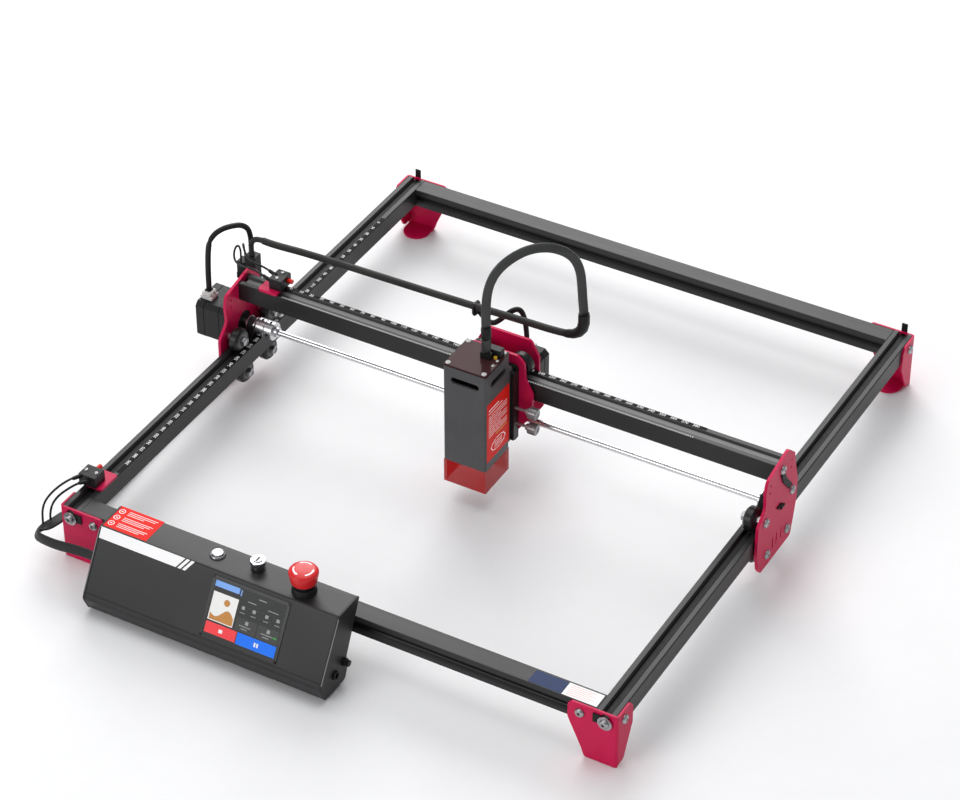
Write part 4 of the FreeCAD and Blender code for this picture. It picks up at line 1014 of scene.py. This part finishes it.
# %% Cable stand and limit switches
soften("cable_stand", "moulded_black", "gantry", 0.9)
soften("x_switch_body", "moulded_black", "gantry", 0.5)
soften("y_switch_body", "moulded_black", "frame", 0.5)
dress("button_red", "x_switch_button", "y_switch_button")
scatter("x_switch_screws", SWITCH_SCREW, [(-248.5, -2.6, 136, "+Z"), (-248.5, 7.7, 136, "+Z")], "bolt_steel",
        "gantry")
scatter("y_switch_screws", SWITCH_SCREW, [(-287.4, -275, 73.5, "+Z"), (-276.2, -275, 73.5, "+Z")],
        "bolt_steel", "frame")

# %% [markdown]
# The control box is one folded sheet with two end caps. Its front slopes back, so everything on it
# is drawn in the slope's own directions: across, down from the upper edge, and outwards.

# %% The slope
SLOPE_TOP = Vector((0, -340.5, 79))
DOWN = Vector((0, -0.5145, -0.8575))
OUT = Vector((0, -0.8575, 0.5145))
SLOPE = Matrix.Translation(SLOPE_TOP) @ Matrix((Vector((1, 0, 0)), -DOWN, OUT)).transposed().to_4x4()
LIFT = -0.38


def on_slope(shape, x, down, out=(0, 0.12)):
    """Adds a thin slab at places across and down the slope."""
    slab(shape, x, (-down[1], -down[0]), (LIFT + out[0], LIFT + out[1]), SLOPE)


soften("box_shell", "box_paint", "frame", 0.5)
soften("box_end_caps", "cap_paint", "frame", 0.6)
dress("cap_paint", "box_brackets")
dress("board_green", "control_board")
soften("side_sockets", "moulded_black", "frame", 0.4)
# A raised bead along the fold of the sheet, in the slightly lighter cap paint: a real fold, with a painted
# highlight where it catches the light.
shape = bmesh.new()
slab(shape, (-223.8, 25.8), (-64.4, -63.2), (LIFT, LIFT + 0.5), SLOPE, soft=0.2)
piece("box_crease", shape, "cap_paint", "frame")
# Thin light-grey strips on the end caps' front edges: a painted highlight along the edges that catch the
# light.
shape = bmesh.new()
for x in (27.3, -226.05):
    on_slope(shape, (x, x + 0.75), (2.5, 65), (0.36, 0.62))
piece("box_cap_edges", shape, "edge_painted_highlight", "frame")

# %% [markdown]
# A white stripe ends in two slashes, and a red notice fills the left end of the top. The real ones
# carry words; here they carry plain bars, so the layout stays but nothing can be read.

# %% Stripe and notice on the box
shape = bmesh.new()
prism(shape, [(-225.5, -0.3), (-225.5, -11), (-141, -11), (-133.5, -0.3)], LIFT, LIFT + 0.14, SLOPE)
for start in (-139.2, -134.2):
    prism(shape, [(start, -11), (start + 3.2, -11), (start + 10.7, -0.3), (start + 7.5, -0.3)], LIFT,
          LIFT + 0.14, SLOPE)
piece("box_stripe", shape, "print_white_painted_glow", "frame")
TOP = 78.6
shape = bmesh.new()
prism(shape, [(-225.4, -338.4), (-177.6, -338.4), (-177.6, -307.6), (-225.4, -307.6)], TOP, TOP + 0.14)
piece("box_notice", shape, "print_red_painted_glow", "frame")
shape = bmesh.new()
for y in (-314, -323, -332):
    for step in range(12):
        turn = Matrix.Translation((-219.5, y, 0)) @ Matrix.Rotation(math.pi * step / 6, 4, "Z")
        slab(shape, (2.4, 3.1), (-0.72, 0.72), (TOP + 0.12, TOP + 0.2), turn)
    slab(shape, (-220.6, -218.4), (y - 0.5, y + 0.5), (TOP + 0.12, TOP + 0.2))
    for k, reach in enumerate((31, 29, 18 if y > -320 else 24)):
        slab(shape, (-213, -213 + reach), (y + 2.2 - 2.2 * k, y + 2.8 - 2.2 * k), (TOP + 0.12, TOP + 0.2))
piece("box_notice_print", shape, "print_white_painted_glow", "frame")

# %% [markdown]
# The touch screen shows a working page: a title bar, a preview picture, four small tools, two
# panels and two big buttons. The preview here is a plain landscape with a sun and two hills. Each
# area is its own thin plate, placed by its share of the screen, and the glass is black round it.

# %% Touch screen
X0, X1, S0, S1 = -100.0, -22.0, 5.5, 60.0
SCREEN = {}


def area(kind, a, b, out):
    """Adds a plate to the screen areas of one finish, a and b being shares across and down."""
    shape = SCREEN.setdefault(kind, bmesh.new())
    on_slope(shape, (X0 + (X1 - X0) * a[0], X0 + (X1 - X0) * a[1]),
             (S0 + (S1 - S0) * b[0], S0 + (S1 - S0) * b[1]), out)


soften("touch_screen", "screen_black", "frame", 0.6)
shape = bmesh.new()
for a, b in (((-101.2, -20.8), (4.2, 6.6)), ((-101.2, -20.8), (58.9, 61.2)), ((-101.2, -98.8), (4.2, 61.2)),
             ((-23.2, -20.8), (4.2, 61.2))):
    on_slope(shape, a, b, (0, 0.7))
piece("display_frame", shape, "screen_black", "frame")
FACE = (0.55, 0.66)
RAISED = (0.60, 0.74)
TIP = (0.66, 0.80)
AREAS = [
    ("slate", (0.025, 0.975), (0.03, 0.955), FACE), ("sky", (0.03, 0.355), (0.045, 0.145), RAISED),
    ("sky", (0.375, 0.39), (0.06, 0.16), RAISED), ("white", (0.035, 0.37), (0.23, 0.715), RAISED),
    ("red", (0.03, 0.445), (0.745, 0.935), RAISED), ("blue", (0.455, 0.975), (0.745, 0.945), RAISED),
    ("grey", (0.40, 0.675), (0.50, 0.725), RAISED), ("grey", (0.69, 0.97), (0.50, 0.725), RAISED),
]
for a in (0.43, 0.575, 0.745, 0.895):
    AREAS += [("icon", (a, a + 0.04), (0.305, 0.36), TIP),
              ("icon", (a - 0.012, a + 0.052), (0.412, 0.423), TIP)]
for a, b in ((0.52, 0.53), (0.81, 0.53)):
    AREAS += [("icon", (a, a + 0.04), (b, b + 0.06), TIP),
              ("icon", (a - 0.07, a + 0.08), (b + 0.09, b + 0.103), TIP),
              ("icon", (a - 0.04, a + 0.04), (b + 0.135, b + 0.148), TIP)]
AREAS += [
    ("green", (0.90, 0.95), (0.615, 0.635), TIP), ("icon", (0.62, 0.72), (0.10, 0.115), TIP),
    ("icon", (0.49, 0.60), (0.20, 0.213), TIP), ("icon", (0.76, 0.90), (0.22, 0.233), TIP),
    ("white", (0.215, 0.265), (0.815, 0.875), TIP), ("white", (0.69, 0.712), (0.81, 0.88), TIP),
    ("white", (0.725, 0.747), (0.81, 0.88), TIP),
]
for kind, a, b, out in AREAS:
    area("screen_" + kind, a, b, out)
for kind, shape in SCREEN.items():
    piece("display_" + kind, shape, kind, "frame")


def screen_point(a, b):
    return (X0 + (X1 - X0) * a, -(S0 + (S1 - S0) * b))


shape = bmesh.new()
hills = [screen_point(0.05, 0.70), screen_point(0.36, 0.70)]
for t in range(17):
    swell = 0.075 * math.sin(math.pi * t / 8)
    hills.append(screen_point(0.36 - 0.31 * t / 16, 0.585 - swell - 0.04 * math.sin(math.pi * t / 16)))
prism(shape, hills, LIFT + TIP[0], LIFT + TIP[1], SLOPE)
lathe(shape, [(3.1, LIFT + TIP[0]), (3.1, LIFT + TIP[1])],
      SLOPE @ Matrix.Translation((*screen_point(0.235, 0.36), 0)), 28)
piece("display_picture", shape, "screen_sand", "frame")

# %% [markdown]
# On top of the box stand a round button in a chrome ring, a key switch and the red emergency stop.
# All three are turned shapes. The mushroom head gets three curved arrows, the usual sign for
# twisting it to release.

# %% Button, key switch and stop
POWER, KEY, STOP = (-111.0, -322.0), (-69.6, -319.5), (-18.0, -325.0)
ON_POWER, ON_KEY, ON_STOP = [Matrix.Translation((*spot, 0)) for spot in (POWER, KEY, STOP)]
shape = bmesh.new()
lathe(shape, [(7.4, 78.6), (7.4, 79.6), (6.9, 80.4), (6.2, 80.8), (5.7, 80.6), (5.6, 79.6)], ON_POWER, 48)
lathe(shape, [(5.5, 78.6), (5.5, 83.4), (6.9, 84.2), (7.3, 84.8), (7.3, 87.8), (6.8, 88.5), (4.8, 88.6),
              (4.5, 88.1)], ON_KEY, 48)
bezels = piece("switch_rings", shape, "bright_chrome", "frame")
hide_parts("switch_bezels")
shape = bmesh.new()
lathe(shape, [(7.0, 78.6), (7.0, 79.2), (5.6, 79.6)], ON_KEY, 40)
lathe(shape, [(11.6, 78.6), (11.6, 79.8), (11.0, 80.4), (11.0, 84.4), (10.6, 85.0), (9.6, 85.0), (9.6, 84.0)],
      ON_STOP, 48)
lathe(shape, [(5.75, 79.4), (5.75, 80.68)], ON_POWER, 40)
piece("switch_collars", shape, "moulded_black", "frame")
shape = bmesh.new()
lathe(shape, [(5.3, 76), (5.3, 81.2), (4.9, 81.8), (4.0, 82.0), (3.2, 81.7)], ON_POWER, 48)
button = piece("power_button_cap", shape, "bright_chrome", "power_button")
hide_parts("power_button")
dress("knurl_alloy", "key_cylinder")
dress("moulded_black", "estop_stem")
shape = bmesh.new()
lathe(shape, [(10.4, 89.2), (11.6, 89.6), (12.2, 90.6), (13.5, 98.6), (13.7, 99.8), (13.5, 101.0),
              (12.8, 102.0),
              (11.4, 102.9), (9.0, 103.5), (5.0, 103.9), (1.0, 104.0)], ON_STOP, 56)
head = piece("estop_mushroom", shape, "stop_red", "estop_head", 50)
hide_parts("estop_head")


# %% Release arrows
def dome(radius):
    """Height of the mushroom's top at a distance from its middle."""
    rings = [(0, 104.0), (1.0, 104.0), (5.0, 103.9), (9.0, 103.5), (11.4, 102.9), (12.8, 102.0),
             (13.5, 101.0)]
    for (r0, z0), (r1, z1) in zip(rings, rings[1:]):
        if radius <= r1:
            return z0 + (z1 - z0) * (radius - r0) / (r1 - r0)
    return rings[-1][1]


def arrow_arc(shape, start, sweep, radius, wide):
    """Adds a curved arrow that follows the domed top."""
    steps = 14
    edge = []
    for side in (1, -1):
        for i in range(steps + 1) if side > 0 else range(steps, -1, -1):
            angle = math.radians(start + sweep * i / steps)
            share = i / steps
            half = wide / 2 * (1.9 * (1 - share) / 0.25 if share > 0.75 else 1)
            r = radius + side * half
            edge.append((r * math.cos(angle), r * math.sin(angle)))
    top = [shape.verts.new((STOP[0] + u, STOP[1] + v, dome(math.hypot(u, v)) + 0.12)) for u, v in edge]
    bottom = [shape.verts.new((w.co.x, w.co.y, w.co.z - 0.5)) for w in top]
    count = steps + 1
    for i in range(steps):
        a, b, c, d = i, i + 1, 2 * count - 2 - i, 2 * count - 1 - i
        shape.faces.new((top[a], top[b], top[c], top[d]))
        shape.faces.new((bottom[d], bottom[c], bottom[b], bottom[a]))
        shape.faces.new((top[a], bottom[a], bottom[b], top[b]))
        shape.faces.new((top[c], bottom[c], bottom[d], top[d]))
    shape.faces.new((top[0], top[-1], bottom[-1], bottom[0]))


shape = bmesh.new()
for start in (70, 190, 310):
    arrow_arc(shape, start, 78, 9.0, 1.5)
piece("estop_arrows", shape, "print_white_painted_glow", "estop_head")

# %% [markdown]
# The laser module is a square alloy case with rounded upright edges. Its lid is glossy and carries
# the ribbon's socket, and a red see-through skirt hangs below to stop stray light. The notice on
# its right side is a red plate with unreadable bars.

# %% Laser module
soften("laser_housing", "case_alloy", "laser", 0.3)
soften("laser_shield", "tinted_red", "laser", 0.3)
dress("sink_alloy", "laser_core")
dress("moulded_black", "laser_fan")
soften("height_slide", "slide_alloy", "carriage", 0.5)
lid = blocks("laser_lid", "lid_gloss", "laser", ((-22.6, 22.6), (-71.8, -26.8), (160.0, 162.0), 0.35))
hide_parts("laser_top_plate")
scatter("lid_screws", LID_SCREW, [(x, y, 162, "+Z") for x in (-19, 19) for y in (-68.4, -30.4)],
        "connector_white", "laser")
scatter("lid_small_screws", SMALL_SCREW, [(19.6, y, 162, "+Z") for y in (-44.5, -53)], "connector_white",
        "laser")
ribs = [((6 + 3.6 * k, 8 + 3.6 * k), (-41.4, -40.4), (163.5, 168.5), 0.2) for k in range(4)]
blocks("laser_socket", "moulded_black", "laser", ((2.5, 13.5), (-47.4, -42.6), (162, 169), 0.6),
       ((4.2, 20.4), (-40.5, -32.2), (162, 170), 0.5), *ribs)
blocks("laser_socket_tab", "print_yellow", "laser", ((15, 18.2), (-43.6, -41.6), (162, 165.2), 0.3))

# %% Laser notice
blocks("laser_notice", "print_red_painted_glow", "laser", ((22.6, 22.74), (-69.4, -27.2), (59.5, 127)))
PRINT = (22.72, 22.8)
shape = bmesh.new()
for k in range(11):
    z = 111 - 2.4 * k
    gap = -62 + 7 * k % 16
    end = -43 if k % 4 == 3 else -31.5
    slab(shape, PRINT, (-66, gap), (z, z + 0.5))
    slab(shape, PRINT, (gap + 1.2, end), (z, z + 0.5))
slab(shape, PRINT, (-66, -47), (118, 119))
slab(shape, PRINT, (-66, -40), (114.6, 115.3))
for k in range(10):
    turn = math.radians(36 * k + 18)
    tilt = math.atan2(6.2 * math.cos(turn), -12.5 * math.sin(turn))
    spot = Matrix.Translation((22.76, -48 + 12.5 * math.cos(turn), 72 + 6.2 * math.sin(turn)))
    spot = spot @ Matrix.Rotation(tilt, 4, "X")
    slab(shape, (-0.04, 0.04), (-3.2, 3.2), (-0.35, 0.35), spot)
for k in range(3):
    slab(shape, PRINT, (-55, -41), (74.2 - 2.6 * k, 74.8 - 2.6 * k))
piece("laser_notice_print", shape, "print_white_painted_glow", "laser")
blocks("laser_notice_line", "print_yellow", "laser", (PRINT, (-52, -32), (83.4, 84.4)))


# %% [markdown]
# The thumbscrews press the height slide. Their knurl is real geometry: eighteen rounded ridges
# stand round each head.

# %% Thumbscrews
def thumbscrew(node, z):
    """A thin stem with a ridged head."""
    turn = facing("+X", (0, -21.2, z))
    shape = bmesh.new()
    lathe(shape, [(1.5, 22.1), (1.5, 38.0), (3.2, 38.2), (3.2, 40.9)], turn, 24)
    lathe(shape, [(4.9, 40.8), (5.4, 41.3), (5.4, 49.4), (4.9, 49.9), (2.6, 49.9), (2.4, 49.4)], turn, 36)
    for i in range(18):
        ridge = turn @ Matrix.Rotation(2 * math.pi * i / 18, 4, "Z")
        slab(shape, (5.0, 5.95), (-0.55, 0.55), (41.4, 49.3), ridge, soft=0.22)
    made = piece(node + "_look", shape, "knurl_alloy", node, 30)
    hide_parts(node)


thumbscrew("thumbscrew_upper", 95.0)
thumbscrew("thumbscrew_lower", 77.0)

# %% Rail sticker
blocks("rail_sticker_dark", "print_navy", "frame", ((200, 232.5), (-312, -296), (59, 59.1)))
blocks("rail_sticker_light", "print_white_painted_glow", "frame", ((233, 267), (-312, -296), (59, 59.1)))
bars = [((236, 262 - 4 * (k % 2)), (-298.6 - 2.3 * k, -297.9 - 2.3 * k), (59.08, 59.16)) for k in range(6)]
blocks("rail_sticker_print", "print_pink", "frame", *bars)

# %% [markdown]
# Every CAD node that is still shown has to have a finish of its own; any that has none is printed.

# %% Check and finish
for node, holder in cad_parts.items():
    coats = [coat.name for coat in holder.data.materials]
    if not holder.hide_render and (not coats or coats[0] not in FINISHES):
        print("no finish yet:", node)
